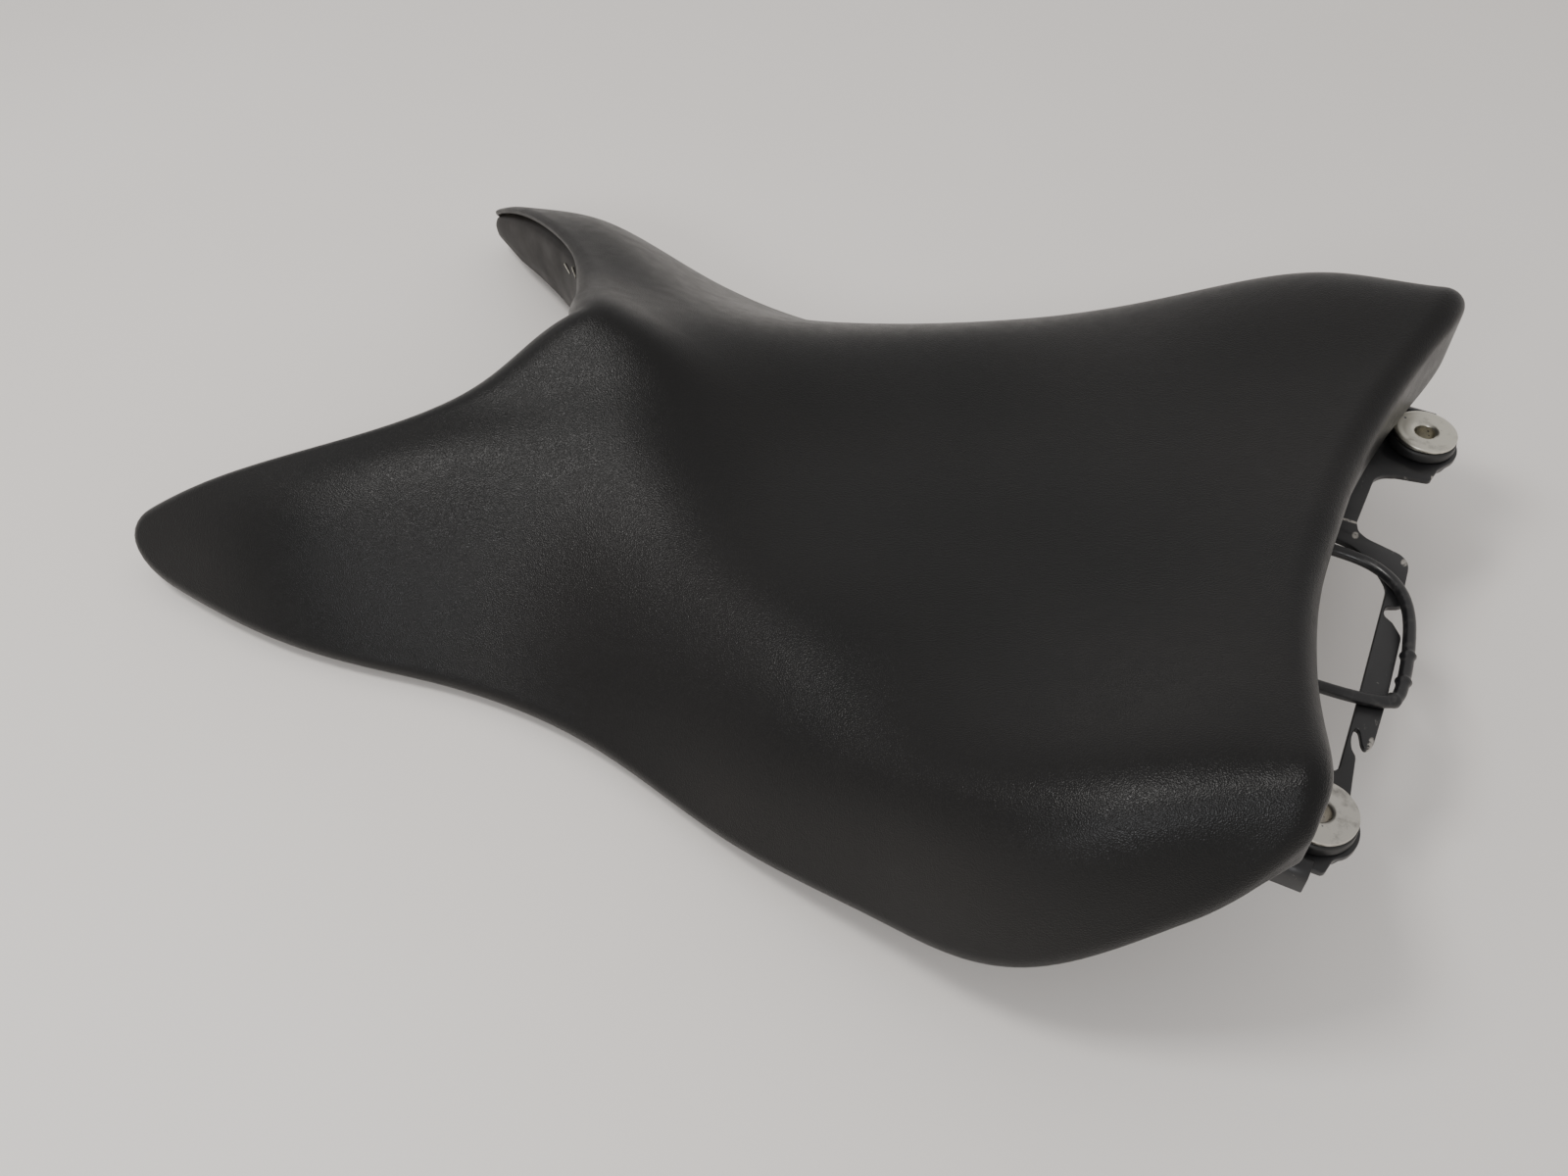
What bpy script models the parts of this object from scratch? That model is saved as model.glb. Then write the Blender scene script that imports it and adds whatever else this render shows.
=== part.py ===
"""Rider's seat of a motorcycle: vinyl cover, foam, moulded base, and a steel rear bracket with rubber-bushed
mounting collars and a cable loop. Metres, +X forward, +Y to the rider's left, +Z up."""

import math

import bmesh
import bpy
import numpy as np
from mathutils import Vector
from mathutils.bvhtree import BVHTree

MM = 0.001
WELD = 1e-6
GAP = 0.3  # clearance between neighbouring pieces, mm

# The design is drawn in millimetres from the mount datum: the middle of the line between the tops of the
# two rear mounting collars. DATUM is that point in the part's own frame, whose origin is under the middle
# of the object, on the surface that it rests on.
DATUM = Vector((-0.2380, 0.0, 0.0800))
FLOOR_Z = -80.0
SIDES = {"left": 1, "right": -1}

# Control points of the left half of the padded top: one row after another from the rear rim to the rim of
# the tank notch, each from the centre plane out to the lower edge.
COVER_NET = [
    [(33, 0, 30), (32, 36, 31), (26, 76, 37), (17, 110, 45), (13, 131, 46), (10, 146, 28)],
    [(64, 0, 15), (64, 42, 16), (62, 88, 22), (61, 132, 31), (61, 158, 18), (61, 173, -24)],
    [(120, 0, -2), (121, 42, -2), (122, 86, 0), (124, 128, 0), (124, 153, -12), (120, 170, -49)],
    [(182, 0, -13), (184, 36, -12), (187, 74, -10), (189, 108, -15), (190, 138, -36), (186, 157, -63)],
    [(240, 0, -14), (243, 30, -13), (248, 60, -14), (252, 89, -24), (254, 117, -43), (254, 140, -66)],
    [(284, 0, 2), (290, 24, 0), (301, 47, -6), (314, 78, -22), (322, 111, -45), (326, 140, -67)],
    [(308, 0, 15), (321, 25, 7), (340, 51, -4), (371, 86, -14), (404, 124, -32), (415, 153, -67)],
    [(323, 0, 20), (336, 25, 11), (357, 50, -2), (396, 84, -15), (448, 118, -33), (488, 143, -61)],
]
LENGTH_STEPS = 17
WIDTH_STEPS = 18

COVER_THICKNESS = 1.5
ROLL_RADIUS = 8.0
SIDE_ROLL_RADIUS = 6.0
FOLD_RADIUS = 3.0
FOLD_LIP = 6.0
CORNER_REACH = 40.0
CORNER_LIP_LOSS = 0.85
CORNER_ROOM = 6.5
FOAM_CORNER_ROOM = 6.5
FOAM_CORNER_LIFT = 0.3
REAR_HEM_Z = 4.0
NOTCH_WALL = 8.0
SIDE_WALL = 1.0

FOAM_EDGE_DEPTH = 12.0
FOAM_MIDDLE_DEPTH = 30.0
BASE_THICKNESS = 2.5
BASE_SIDE_RIM = 2.0
BASE_REAR_RIM = 9.0
BASE_NOTCH_Z = -28.0
PAD_TOP = 6.0  # the base stays above this over the bracket
PAD_FRONT = 50.0
PAD_HALF_WIDTH = 118.0
BASE_WING_Z = -66.0

MOUNT_Y = 101.0
PLATE_TOP = -7.0
PLATE_THICKNESS = 2.5
PLATE_HOLE_RADIUS = 10.0
PLATE_FRONT = 47.0
PLATE_END = 121.0
PLATE_MOUNT_RADIUS = 14.5
END_LIP = 8.0
LIP_INSET = 0.2
END_LIP_REACH = (-3, 40)
COLLAR_FLANGE_RADIUS = 12.5
COLLAR_FLANGE = 2.0
COLLAR_RADIUS = 6.0
COLLAR_BORE_RADIUS = 4.0
COLLAR_EDGE = 0.4
COLLAR_FOOT = 1.0  # how far the collar stands out under its rubber bush
GROMMET_RADIUS = 13.2
GROMMET_LOWER_FLANGE = 4.0
GROMMET_EDGE = 1.2

BOLT_PLACES = {"left": (38, 100), "right": (38, -100), "middle_left": (39, 68), "middle_right": (39, -42)}
BOLT_RADIUS = 3.0
BOLT_HOLE_RADIUS = 3.4
BOLT_DEPTH = 8.0
BOLT_FLANGE = 1.2
BOLT_FLANGE_RATIO = 2.2  # flange, head radius and head height as multiples of the shank's radius
BOLT_HEAD_RATIO = 1.95
BOLT_HEAD_HEIGHT = 1.7
BOSS_RADIUS = 8.0

BUMPER_PLACES = {"front": (292, 72), "rear": (118, 96)}
BUMPER_RADIUS = 13.0
BUMPER_HEIGHT = 14.0
BUMPER_EDGE = 2.0
POST_RADIUS = 9.0
POST_FOOT_Z = FLOOR_Z + BUMPER_HEIGHT + GAP

HOOK_HALF_WIDTH = 20.0
HOOK_THICKNESS = 3.0
HOOK_Z = -37.0
HOOK_REACH = (284, 354)
HOOK_NOSE = 8.0
RIVET_X = 293
RIVET_Y = 11
RIVET_RADIUS = 2.4
RIVET_HOLE_RADIUS = 2.8
RIVET_HEAD_RADIUS = 4.8
RIVET_HEAD_HEIGHT = 1.8
RIVET_BOSS_RADIUS = 6.0

CABLE_RADIUS = 2.25
CABLE_Z = PLATE_TOP + CABLE_RADIUS + GAP
CABLE_ROUTE = [
    (38, -21), (28, -21), (16, -21), (5, -19.5), (-5, -13), (-11, -2), (-13.5, 10), (-14.8, 22), (-15.2, 34),
    (-13.6, 42), (-6, 45.5), (6, 47), (18, 47.5), (28, 48), (38, 48),
]
CABLE_POINTS = 44
ANCHOR_PLACES = {"right": -21, "left": 48}
ANCHOR_REACH = (31, 46)
ANCHOR_HALF_WIDTH = 5.0
ANCHOR_HEIGHT = 8.0
ANCHOR_SCREW_X = 42.0
ANCHOR_HOLE_RADIUS = 2.4
ANCHOR_SCREW_RADIUS = 2.0
ANCHOR_SCREW_DEPTH = 6.5
ANCHOR_EDGE = 0.8
CABLE_SOCKET = 8.0


def natural_spline(knots, values, places):
    """Points at places on the natural cubic spline that runs through values at knots."""
    steps = np.diff(knots)
    count = len(knots)
    matrix = np.eye(count)
    right = np.zeros_like(values)
    for i in range(1, count - 1):
        matrix[i, i - 1 : i + 2] = steps[i - 1], 2 * (steps[i - 1] + steps[i]), steps[i]
        right[i] = 6 * ((values[i + 1] - values[i]) / steps[i] - (values[i] - values[i - 1]) / steps[i - 1])
    bend = np.linalg.solve(matrix, right.reshape(count, -1)).reshape(values.shape)
    spans = np.clip(np.searchsorted(knots, places, side="right") - 1, 0, count - 2)
    shape = (-1,) + (1,) * (values.ndim - 1)
    width = steps[spans].reshape(shape)
    before = ((knots[spans + 1] - places) / steps[spans]).reshape(shape)
    after = 1 - before
    straight = before * values[spans] + after * values[spans + 1]
    curved = (before**3 - before) * bend[spans] + (after**3 - after) * bend[spans + 1]
    return straight + curved * width**2 / 6


def chord_knots(points, axis):
    """Knots from 0 to 1, spaced like the mean distance between the rows along an axis of the net."""
    lengths = np.linalg.norm(np.diff(points, axis=axis), axis=2).mean(axis=1 - axis)
    knots = np.concatenate([[0], np.cumsum(lengths)])
    return knots / knots[-1]


def cover_grid(rows, columns):
    """The padded top as a grid of points, from the right lower edge to the left one."""
    half = np.array(COVER_NET, float)
    net = np.concatenate([half[:, :0:-1] * [1, -1, 1], half], axis=1)
    lengthways = natural_spline(chord_knots(net, 0), net, np.linspace(0, 1, rows))
    across = natural_spline(chord_knots(net, 1), lengthways.transpose(1, 0, 2), np.linspace(0, 1, columns))
    return across.transpose(1, 0, 2)


def unit(vectors):
    return vectors / np.linalg.norm(vectors, axis=-1, keepdims=True)


def grid_normals(grid):
    return unit(np.cross(np.gradient(grid, axis=0), np.gradient(grid, axis=1)))


def border(rows, columns):
    """Row and column of each point on the grid's border, once round from the rear right corner."""
    rear = [(0, j) for j in range(columns)]
    left = [(i, columns - 1) for i in range(1, rows)]
    front = [(rows - 1, j) for j in range(columns - 2, -1, -1)]
    right = [(i, 0) for i in range(rows - 2, 0, -1)]
    return np.array(rear + left + front + right)


def smooth_round(values, times):
    """Values round a closed border, each averaged with its neighbours."""
    for _ in range(times):
        values = (np.roll(values, 1, axis=0) + 2 * values + np.roll(values, -1, axis=0)) / 4
    return values


class Edge:
    """The border of the padded top: its points, the way out and the way down over the rolled edge."""

    def __init__(self, grid):
        rows, columns, _ = grid.shape
        self.index = border(rows, columns)
        self.at_rear = self.index[:, 0] == 0
        self.at_front = self.index[:, 0] == rows - 1
        self.across = np.abs(2 * self.index[:, 1] / (columns - 1) - 1)
        row, column = self.index.T
        self.points = grid[row, column]
        self.normal = grid_normals(grid)[row, column]
        along = unit(smooth_round(np.roll(self.points, -1, 0) - np.roll(self.points, 1, 0), 3))
        inside = grid[np.clip(row, 1, rows - 2), np.clip(column, 1, columns - 2)]
        self.onward = self.outward_side(unit(np.cross(along, self.normal)), self.points - inside)
        level = self.outward_side(unit(np.cross(along, [0, 0, 1])), self.onward + self.normal)
        self.outward = unit(smooth_round(level, 2))

    def corner_nearness(self):
        """1 at the four corners of the border, down to 0 at CORNER_REACH from them."""
        corners = self.points[(self.at_rear | self.at_front) & (self.across > 0.99)]
        distance = np.linalg.norm(self.points[:, None] - corners[None], axis=2).min(axis=1)
        return np.clip(1 - distance / CORNER_REACH, 0, 1)[:, None]

    @staticmethod
    def outward_side(vectors, guide):
        return vectors * np.sign((vectors * guide).sum(axis=1))[:, None]

    def roll(self, steps):
        """Rings from the border round the roll until the surface points straight down."""
        down = np.array([0.0, 0.0, -1.0])
        cosine = self.onward @ down
        turn = np.arccos(np.clip(cosine, -1, 1))[:, None]
        centre_side = unit(down - cosine[:, None] * self.onward)
        ends = self.at_rear | self.at_front
        radius = smooth_round(np.where(ends, ROLL_RADIUS, SIDE_ROLL_RADIUS), 6)[:, None]
        rings = []
        for step in range(1, steps + 1):
            angle = turn * step / steps
            rings.append(
                self.points + radius * (np.sin(angle) * self.onward + (1 - np.cos(angle)) * centre_side)
            )
        return rings

    def wall(self, start):
        """The ring at the foot of the short wall under the roll."""
        fade = self.across**4
        rear = np.clip(start[:, 2] - REAR_HEM_Z - FOLD_RADIUS, SIDE_WALL, None)
        height = np.full(len(start), SIDE_WALL)
        height = np.where(self.at_rear, rear * (1 - fade) + SIDE_WALL * fade, height)
        height = np.where(self.at_front, NOTCH_WALL * (1 - self.across**3) + SIDE_WALL, height)
        return start - smooth_round(height, 4)[:, None] * [0, 0, 1]

    def fold(self, start, steps):
        """Rings that turn the edge in under the base. At the tank notch the edge runs straight down."""
        turned_in = smooth_round(np.where(self.at_front, 0.0, 1.0), 3)[:, None]
        lip = FOLD_LIP * (1 - CORNER_LIP_LOSS * self.corner_nearness())
        rings = []
        for step in range(1, steps + 1):
            angle = math.pi / 2 * step / steps
            inward = FOLD_RADIUS * (1 - math.cos(angle)) * turned_in
            rings.append(start - inward * self.outward - FOLD_RADIUS * math.sin(angle) * np.array([0, 0, 1]))
        rings.append(rings[-1] - lip * turned_in * self.outward - 0.5 * (1 - turned_in) * [0, 0, 1])
        return rings


def coons(border_values, index, rows, columns):
    """Values on a grid that match those round its border and fade quickly inwards."""
    edge = np.zeros((rows, columns, 3))
    edge[index[:, 0], index[:, 1]] = border_values
    u = np.linspace(0, 1, rows)[:, None, None]
    v = np.linspace(0, 1, columns)[None, :, None]
    near_u, far_u, near_v, far_v = (1 - u) ** 4, u**4, (1 - v) ** 4, v**4
    sides = near_u * edge[:1] + far_u * edge[-1:] + near_v * edge[:, :1] + far_v * edge[:, -1:]
    corners = near_u * (near_v * edge[0, 0] + far_v * edge[0, -1])
    corners = corners + far_u * (near_v * edge[-1, 0] + far_v * edge[-1, -1])
    return sides - corners


def grid_faces(rows, columns, start=0, flip=False):
    faces = []
    for i in range(rows - 1):
        for j in range(columns - 1):
            a = start + i * columns + j
            b, c, d = a + columns, a + columns + 1, a + 1
            faces += [(a, c, b), (a, d, c)] if flip else [(a, b, c), (a, c, d)]
    return faces


def ring_faces(upper, lower):
    """Triangles between two rings of vertex numbers."""
    faces = []
    for k in range(len(upper)):
        after = (k + 1) % len(upper)
        faces += [(upper[k], upper[after], lower[after]), (upper[k], lower[after], lower[k])]
    return faces


class Skin:
    """A grid with rings hung from its border: vertices and faces of one open sheet."""

    def __init__(self, grid, index, rings):
        rows, columns, _ = grid.shape
        self.points = np.vstack([grid.reshape(-1, 3)] + list(rings))
        self.faces = grid_faces(rows, columns)
        self.border = [i * columns + j for i, j in index]
        last = self.border
        for number in range(len(rings)):
            first = rows * columns + number * len(index)
            ring = list(range(first, first + len(index)))
            self.faces += ring_faces(last, ring)
            last = ring
        self.last = last

    def normals(self):
        """The mean normal of the faces at each vertex."""
        total = np.zeros_like(self.points)
        for face in self.faces:
            a, b, c = (self.points[k] for k in face)
            total[list(face)] += np.cross(b - a, c - a)
        return unit(total)


def material(name, colour, roughness, metallic=0.0):
    made = bpy.data.materials.new(name)
    made.use_nodes = True
    shader = made.node_tree.nodes["Principled BSDF"]
    shader.inputs["Base Color"].default_value = (*colour, 1.0)
    shader.inputs["Roughness"].default_value = roughness
    shader.inputs["Metallic"].default_value = metallic
    return made


def add_object(name, data, finish):
    thing = bpy.data.objects.new(name, data)
    bpy.context.scene.collection.objects.link(thing)
    if finish is not None:
        data.materials.append(finish)
    return thing


def add_mesh(name, points, faces, finish, smooth_angle=40):
    """A mesh object from points in millimetres from the datum. A closed one is turned to face outwards."""
    mesh = bpy.data.meshes.new(name)
    mesh.from_pydata([Vector(p) * MM + DATUM for p in points], [], faces)
    work = bmesh.new()
    work.from_mesh(mesh)
    if all(edge.is_manifold for edge in work.edges) and work.calc_volume(signed=True) < 0:
        bmesh.ops.reverse_faces(work, faces=work.faces)
    work.to_mesh(mesh)
    work.free()
    mesh.shade_smooth()
    mesh.set_sharp_from_angle(angle=math.radians(smooth_angle))
    return add_object(name, mesh, finish)


def solidify(thing, thickness, even=True):
    """Thickens an open sheet inwards."""
    shell = thing.modifiers.new("thickness", "SOLIDIFY")
    shell.thickness = thickness * MM
    shell.offset = -1
    shell.use_even_offset = even


def turned(name, profile, centre, sides, finish, ring=False):
    """A turned piece. The profile holds (radius, height) from bottom to top, or once round for a ring."""
    points = [(x, y, height) for radius, height in profile for x, y in circle(centre, radius, sides)]
    rings = [list(range(i * sides, (i + 1) * sides)) for i in range(len(profile))]
    faces = []
    for lower, upper in zip(rings, rings[1:]):
        faces += ring_faces(lower, upper)
    if ring:
        faces += ring_faces(rings[-1], rings[0])
    else:
        faces += [rings[0][::-1], rings[-1]]
    return add_mesh(name, points, faces, finish)


def box(name, low, high, finish):
    corners = [(x, y, z) for x in (low[0], high[0]) for y in (low[1], high[1]) for z in (low[2], high[2])]
    faces = [(0, 1, 3, 2), (4, 6, 7, 5), (0, 4, 5, 1), (2, 3, 7, 6), (0, 2, 6, 4), (1, 5, 7, 3)]
    return add_mesh(name, corners, faces, finish)


def hide(cutter):
    cutter.hide_render = True
    cutter.display_type = "WIRE"
    return cutter


def boolean(thing, other, operation):
    step = thing.modifiers.new(other.name, "BOOLEAN")
    step.operation = operation
    step.solver = "EXACT"
    step.object = hide(other)


def bevel(thing, width):
    edge = thing.modifiers.new("edges", "BEVEL")
    edge.width = width * MM
    edge.segments = 1
    edge.limit_method = "ANGLE"
    edge.angle_limit = math.radians(50)


def make_cover(grid, edge, finish):
    """The vinyl cover: a thin skin over the top, rolled round the edge and folded in under the base."""
    roll = edge.roll(2)
    wall = edge.wall(roll[-1])
    skin = Skin(grid, edge.index, [*roll, wall, *edge.fold(wall, 2)])
    cover = add_mesh("seat_cover", skin.points, skin.faces, finish, smooth_angle=70)
    solidify(cover, COVER_THICKNESS, even=False)


def rim_height(edge):
    """How high the base's rim stands inside the cover's wall: most behind, where that wall is tall."""
    fade = (1 - edge.across**4) * edge.at_rear
    height = smooth_round(BASE_SIDE_RIM + (BASE_REAR_RIM - BASE_SIDE_RIM) * fade, 1)
    return height[:, None] * [0, 0, 1]


def base_rim(edge):
    """The ring where the base's own rim stands, just inside the foot of the cover's wall."""
    roll = edge.roll(2)
    foot = edge.wall(roll[-1]) - [0, 0, FOLD_RADIUS - COVER_THICKNESS - 3 * GAP]
    room = CORNER_ROOM * edge.corner_nearness()
    return foot - (COVER_THICKNESS + 4 * GAP + room) * edge.outward + room * [0, 0, 1]


def base_top(grid, edge):
    """The top of the base: the cover's shape sunk by the foam's depth, with its border on the rim."""
    rows, columns, _ = grid.shape
    u = np.linspace(0, 1, rows)[:, None]
    v = np.linspace(0, 1, columns)[None, :]
    fullness = np.sin(math.pi * u) * (4 * v * (1 - v)) ** 1.5
    depth = FOAM_EDGE_DEPTH + (FOAM_MIDDLE_DEPTH - FOAM_EDGE_DEPTH) * fullness
    sunk = grid - depth[..., None] * grid_normals(grid)
    row, column = edge.index.T
    rim = base_rim(edge) + rim_height(edge)
    sheet = sunk + coons(rim - sunk[row, column], edge.index, rows, columns)
    inside = sheet[1:-1, 1:-1]
    past_front = np.clip(inside[..., 0] - PAD_FRONT, 0, None)
    past_side = np.clip(abs(inside[..., 1]) - PAD_HALF_WIDTH, 0, None)
    inside[..., 2] = np.maximum(inside[..., 2], PAD_TOP - past_front - 3 * past_side)
    return sheet


def foam_side(edge, upper, lower, wall):
    """Two rings down the foam's side, the last one just above the base's rim. They follow the cover's two
    roll rings, set in by its thickness, and the foot of its wall."""
    foot = (wall + rim_height(edge))[:, 2] + 2 * GAP
    share = np.clip((foot - lower[:, 2]) / (upper[:, 2] - lower[:, 2]), 0, 0.8)[:, None]
    last = lower + share * (upper - lower)
    middle = np.where(share > 0, (upper + last) / 2, last)
    last[:, 2] = np.where(share[:, 0] > 0, last[:, 2], np.minimum(foot, last[:, 2] - GAP))
    return middle, last


def make_foam(grid, edge, top_of_base, finish):
    """The moulded foam: it fills the room between the cover and the base."""
    rows, columns, _ = grid.shape
    roll = edge.roll(2)
    wall = edge.wall(roll[-1])
    cover = Skin(grid, edge.index, [*roll, wall])
    inset = cover.points - (COVER_THICKNESS + GAP) * cover.normals()
    top = inset[: rows * columns].reshape(grid.shape)
    upper, lower, _ = inset[rows * columns :].reshape(3, len(edge.index), 3)
    room = FOAM_CORNER_ROOM * edge.corner_nearness()
    top[edge.index[:, 0], edge.index[:, 1]] -= room * (edge.onward + edge.normal) / 2
    back = room * (edge.outward - [0, 0, FOAM_CORNER_LIFT])
    outside = Skin(top, edge.index, [upper - back, *foam_side(edge, upper - back, lower - back, wall)])
    lift = top_of_base + GAP * grid_normals(top_of_base)
    first = len(outside.points)
    points = np.vstack([outside.points, lift.reshape(-1, 3)])
    below = [first + i * columns + j for i, j in edge.index]
    faces = outside.faces + ring_faces(outside.last, below)
    faces += grid_faces(rows, columns, start=first, flip=True)
    add_mesh("foam_core", points, faces, finish, smooth_angle=70)


def make_base(edge, top_of_base, finish):
    """The moulded base: a tray under the foam, with a wall down to the tank notch and its bosses."""
    rim = base_rim(edge)
    wing = np.clip(edge.across * 1.6 - 0.3, 0, 1) ** 0.7
    notch_z = BASE_NOTCH_Z + (BASE_WING_Z - BASE_NOTCH_Z) * wing
    foot_z = np.where(edge.at_front, np.minimum(notch_z, rim[:, 2]), rim[:, 2])
    foot = np.column_stack([rim[:, :2], foot_z])
    skin = Skin(top_of_base, edge.index, [foot])
    base = add_mesh("seat_base", skin.points, skin.faces, finish)
    solidify(base, BASE_THICKNESS, even=False)
    sheet = BVHTree.FromPolygons(skin.points.tolist(), skin.faces)
    for name, centre, radius, foot, hole in bosses():
        boolean(base, make_boss(name, centre, radius, foot, sheet), "UNION")
        if hole:
            drill = turned(name + "_hole", [(hole, foot - 5), (hole, foot + BOLT_DEPTH)], centre, 10, None)
            boolean(base, drill, "DIFFERENCE")


def bosses():
    """Name, place, radius, lower face and hole radius of each boss and post under the base."""
    for place, centre in BOLT_PLACES.items():
        yield f"boss_{place}", centre, BOSS_RADIUS, PLATE_TOP + GAP, BOLT_HOLE_RADIUS
    for side, sign in SIDES.items():
        rivet = (RIVET_X, sign * RIVET_Y)
        yield f"hook_boss_{side}", rivet, RIVET_BOSS_RADIUS, HOOK_Z + GAP, RIVET_HOLE_RADIUS
        for place, (x, y) in BUMPER_PLACES.items():
            yield f"post_{place}_{side}", (x, sign * y), POST_RADIUS, POST_FOOT_Z, None


def make_boss(name, centre, radius, foot, sheet):
    """A round boss from its foot up into the thickness of the base's sheet, whose slope its top follows."""
    ring = [*circle(centre, radius, 12)]
    heights = []
    for x, y in [*ring, centre]:
        above, _, _, _ = sheet.ray_cast(Vector((x, y, 200)), Vector((0, 0, -1)))
        heights.append(above.z - BASE_THICKNESS / 2)
    count = len(ring)
    points = [(x, y, foot) for x, y in ring] + [(x, y, z) for (x, y), z in zip(ring, heights)]
    points.append((*centre, heights[-1]))
    faces = [list(range(count))[::-1]]
    faces += ring_faces(list(range(count)), list(range(count, 2 * count)))
    faces += [(count + k, count + (k + 1) % count, 2 * count) for k in range(count)]
    return add_mesh(name, points, faces, None)


def extruded(name, outline, holes, bottom, top, finish):
    """A flat plate: a 2D curve of the outline and its holes, filled, extruded and turned into a mesh."""
    curve = bpy.data.curves.new(name, "CURVE")
    curve.dimensions = "2D"
    curve.fill_mode = "BOTH"
    curve.extrude = (top - bottom) / 2 * MM
    for path in [outline, *holes]:
        spline = curve.splines.new("POLY")
        spline.points.add(len(path) - 1)
        for point, (x, y) in zip(spline.points, path):
            point.co = (x * MM, y * MM, 0, 1)
        spline.use_cyclic_u = True
    drawing = add_object(name + "_outline", curve, None)
    mesh = bpy.data.meshes.new_from_object(drawing)
    bpy.data.objects.remove(drawing, do_unlink=True)
    work = bmesh.new()
    work.from_mesh(mesh)
    bmesh.ops.remove_doubles(work, verts=work.verts, dist=WELD)
    bmesh.ops.translate(work, verts=work.verts, vec=DATUM + Vector((0, 0, (top + bottom) / 2)) * MM)
    work.to_mesh(mesh)
    work.free()
    mesh.name = name
    return add_object(name, mesh, finish)


def arc(centre, radius, start, end, steps):
    """Points of an arc, angles in degrees."""
    angles = [math.radians(start + (end - start) * k / steps) for k in range(steps + 1)]
    return [(centre[0] + radius * math.cos(a), centre[1] + radius * math.sin(a)) for a in angles]


def circle(centre, radius, sides):
    return arc(centre, radius, 0, 360 - 360 / sides, sides - 1)


def bracket_outline():
    """The stamped plate seen from above, from the right mount's outer end round the rear to the left."""
    right_end = [(PLATE_FRONT, -116), (42, -PLATE_END), (-7, -PLATE_END), (-8, -114)]
    right_mount = arc((0, -MOUNT_Y), PLATE_MOUNT_RADIUS, 224, 158, 4)
    right_shoulder = [(-9, -88), (-7.5, -80), (5, -77.5)]
    neck = [*arc((4, -68), 9, 285, 345, 3), (13.5, -53), (14, -43), (12.5, -38.5), (9, -36)]
    corner = [(-4, -33), (-7, -30.5), (-8, -27), (-8.5, -12), (-11, -9)]
    upper_hook = [(-8.5, -6), (-7, -5), (-3.8, -3.6), (-3.8, 1), (-6.8, 3), (-7.6, 3.6), (-11.5, 9)]
    lower_hook = [(-12, 40), (-11.5, 62), (-9.6, 64.8), (-8, 63.5), (-6, 57.5), (-4.6, 57), (-4.2, 62)]
    bar_end = [(-5.2, 66.5), (-7.2, 69), (-8.5, 84)]
    left_mount = arc((0, MOUNT_Y), PLATE_MOUNT_RADIUS, 230, 146, 5)
    left_end = [(-8.5, 112), (-7, 118.5), (-5.5, PLATE_END), (42, PLATE_END), (PLATE_FRONT, 116)]
    right_half = right_end + right_mount + right_shoulder + neck + corner + upper_hook
    return right_half + lower_hook + bar_end + left_mount + left_end


def window_outline():
    """The opening between the bar and the plate's front strip."""
    upper = [(30, -31), (22, -31), (13.5, -29.5), (4, -23.5), (-2.5, -14)]
    return [*upper, (-3, 40), (-3, 78.5), (30, 78.5)]


def make_bracket(finish):
    """The stamped steel bracket with its mount holes, bolt holes, window and turned-down ends."""
    holes = [window_outline()]
    holes += [circle((0, side * MOUNT_Y), PLATE_HOLE_RADIUS, 24) for side in (1, -1)]
    holes += [circle(place, BOLT_HOLE_RADIUS, 10) for place in BOLT_PLACES.values()]
    holes += [circle((ANCHOR_SCREW_X, y), ANCHOR_HOLE_RADIUS, 8) for y in ANCHOR_PLACES.values()]
    bottom = PLATE_TOP - PLATE_THICKNESS
    plate = extruded("rear_bracket", bracket_outline(), holes, bottom, PLATE_TOP, finish)
    start, end = END_LIP_REACH
    low, high = PLATE_TOP - END_LIP, PLATE_TOP - LIP_INSET
    for side, sign in SIDES.items():
        inner, outer = sorted((sign * (PLATE_END - PLATE_THICKNESS), sign * (PLATE_END - LIP_INSET)))
        boolean(plate, box(f"lip_{side}", (start, inner, low), (end, outer, high), None), "UNION")


def make_mount(side, y, steel, rubber):
    """One rubber bush in the bracket, and the flanged steel collar that turns in it."""
    inner = COLLAR_RADIUS + GAP
    groove = PLATE_HOLE_RADIUS - GAP
    top = -COLLAR_FLANGE - GAP
    plate_top = PLATE_TOP + GAP
    plate_bottom = PLATE_TOP - PLATE_THICKNESS - GAP
    bottom = plate_bottom - GROMMET_LOWER_FLANGE
    rim = GROMMET_RADIUS - GROMMET_EDGE
    lower_flange = [(inner, bottom), (rim, bottom), (GROMMET_RADIUS, bottom + GROMMET_EDGE)]
    waist = [(GROMMET_RADIUS, plate_bottom), (groove, plate_bottom)]
    waist += [(groove, plate_top), (GROMMET_RADIUS, plate_top)]
    upper_flange = [(GROMMET_RADIUS, top - GROMMET_EDGE), (rim, top), (inner, top)]
    turned(f"grommet_{side}", lower_flange + waist + upper_flange, (0, y), 24, rubber, ring=True)
    foot = bottom - COLLAR_FOOT
    edge = COLLAR_EDGE
    tube = [(COLLAR_BORE_RADIUS, foot), (COLLAR_RADIUS, foot), (COLLAR_RADIUS, -COLLAR_FLANGE)]
    flange = [(COLLAR_FLANGE_RADIUS, -COLLAR_FLANGE), (COLLAR_FLANGE_RADIUS, -edge)]
    flange += [(COLLAR_FLANGE_RADIUS - edge, 0), (COLLAR_BORE_RADIUS + edge, 0), (COLLAR_BORE_RADIUS, -edge)]
    turned(f"collar_{side}", tube + flange, (0, y), 32, steel, ring=True)


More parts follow.
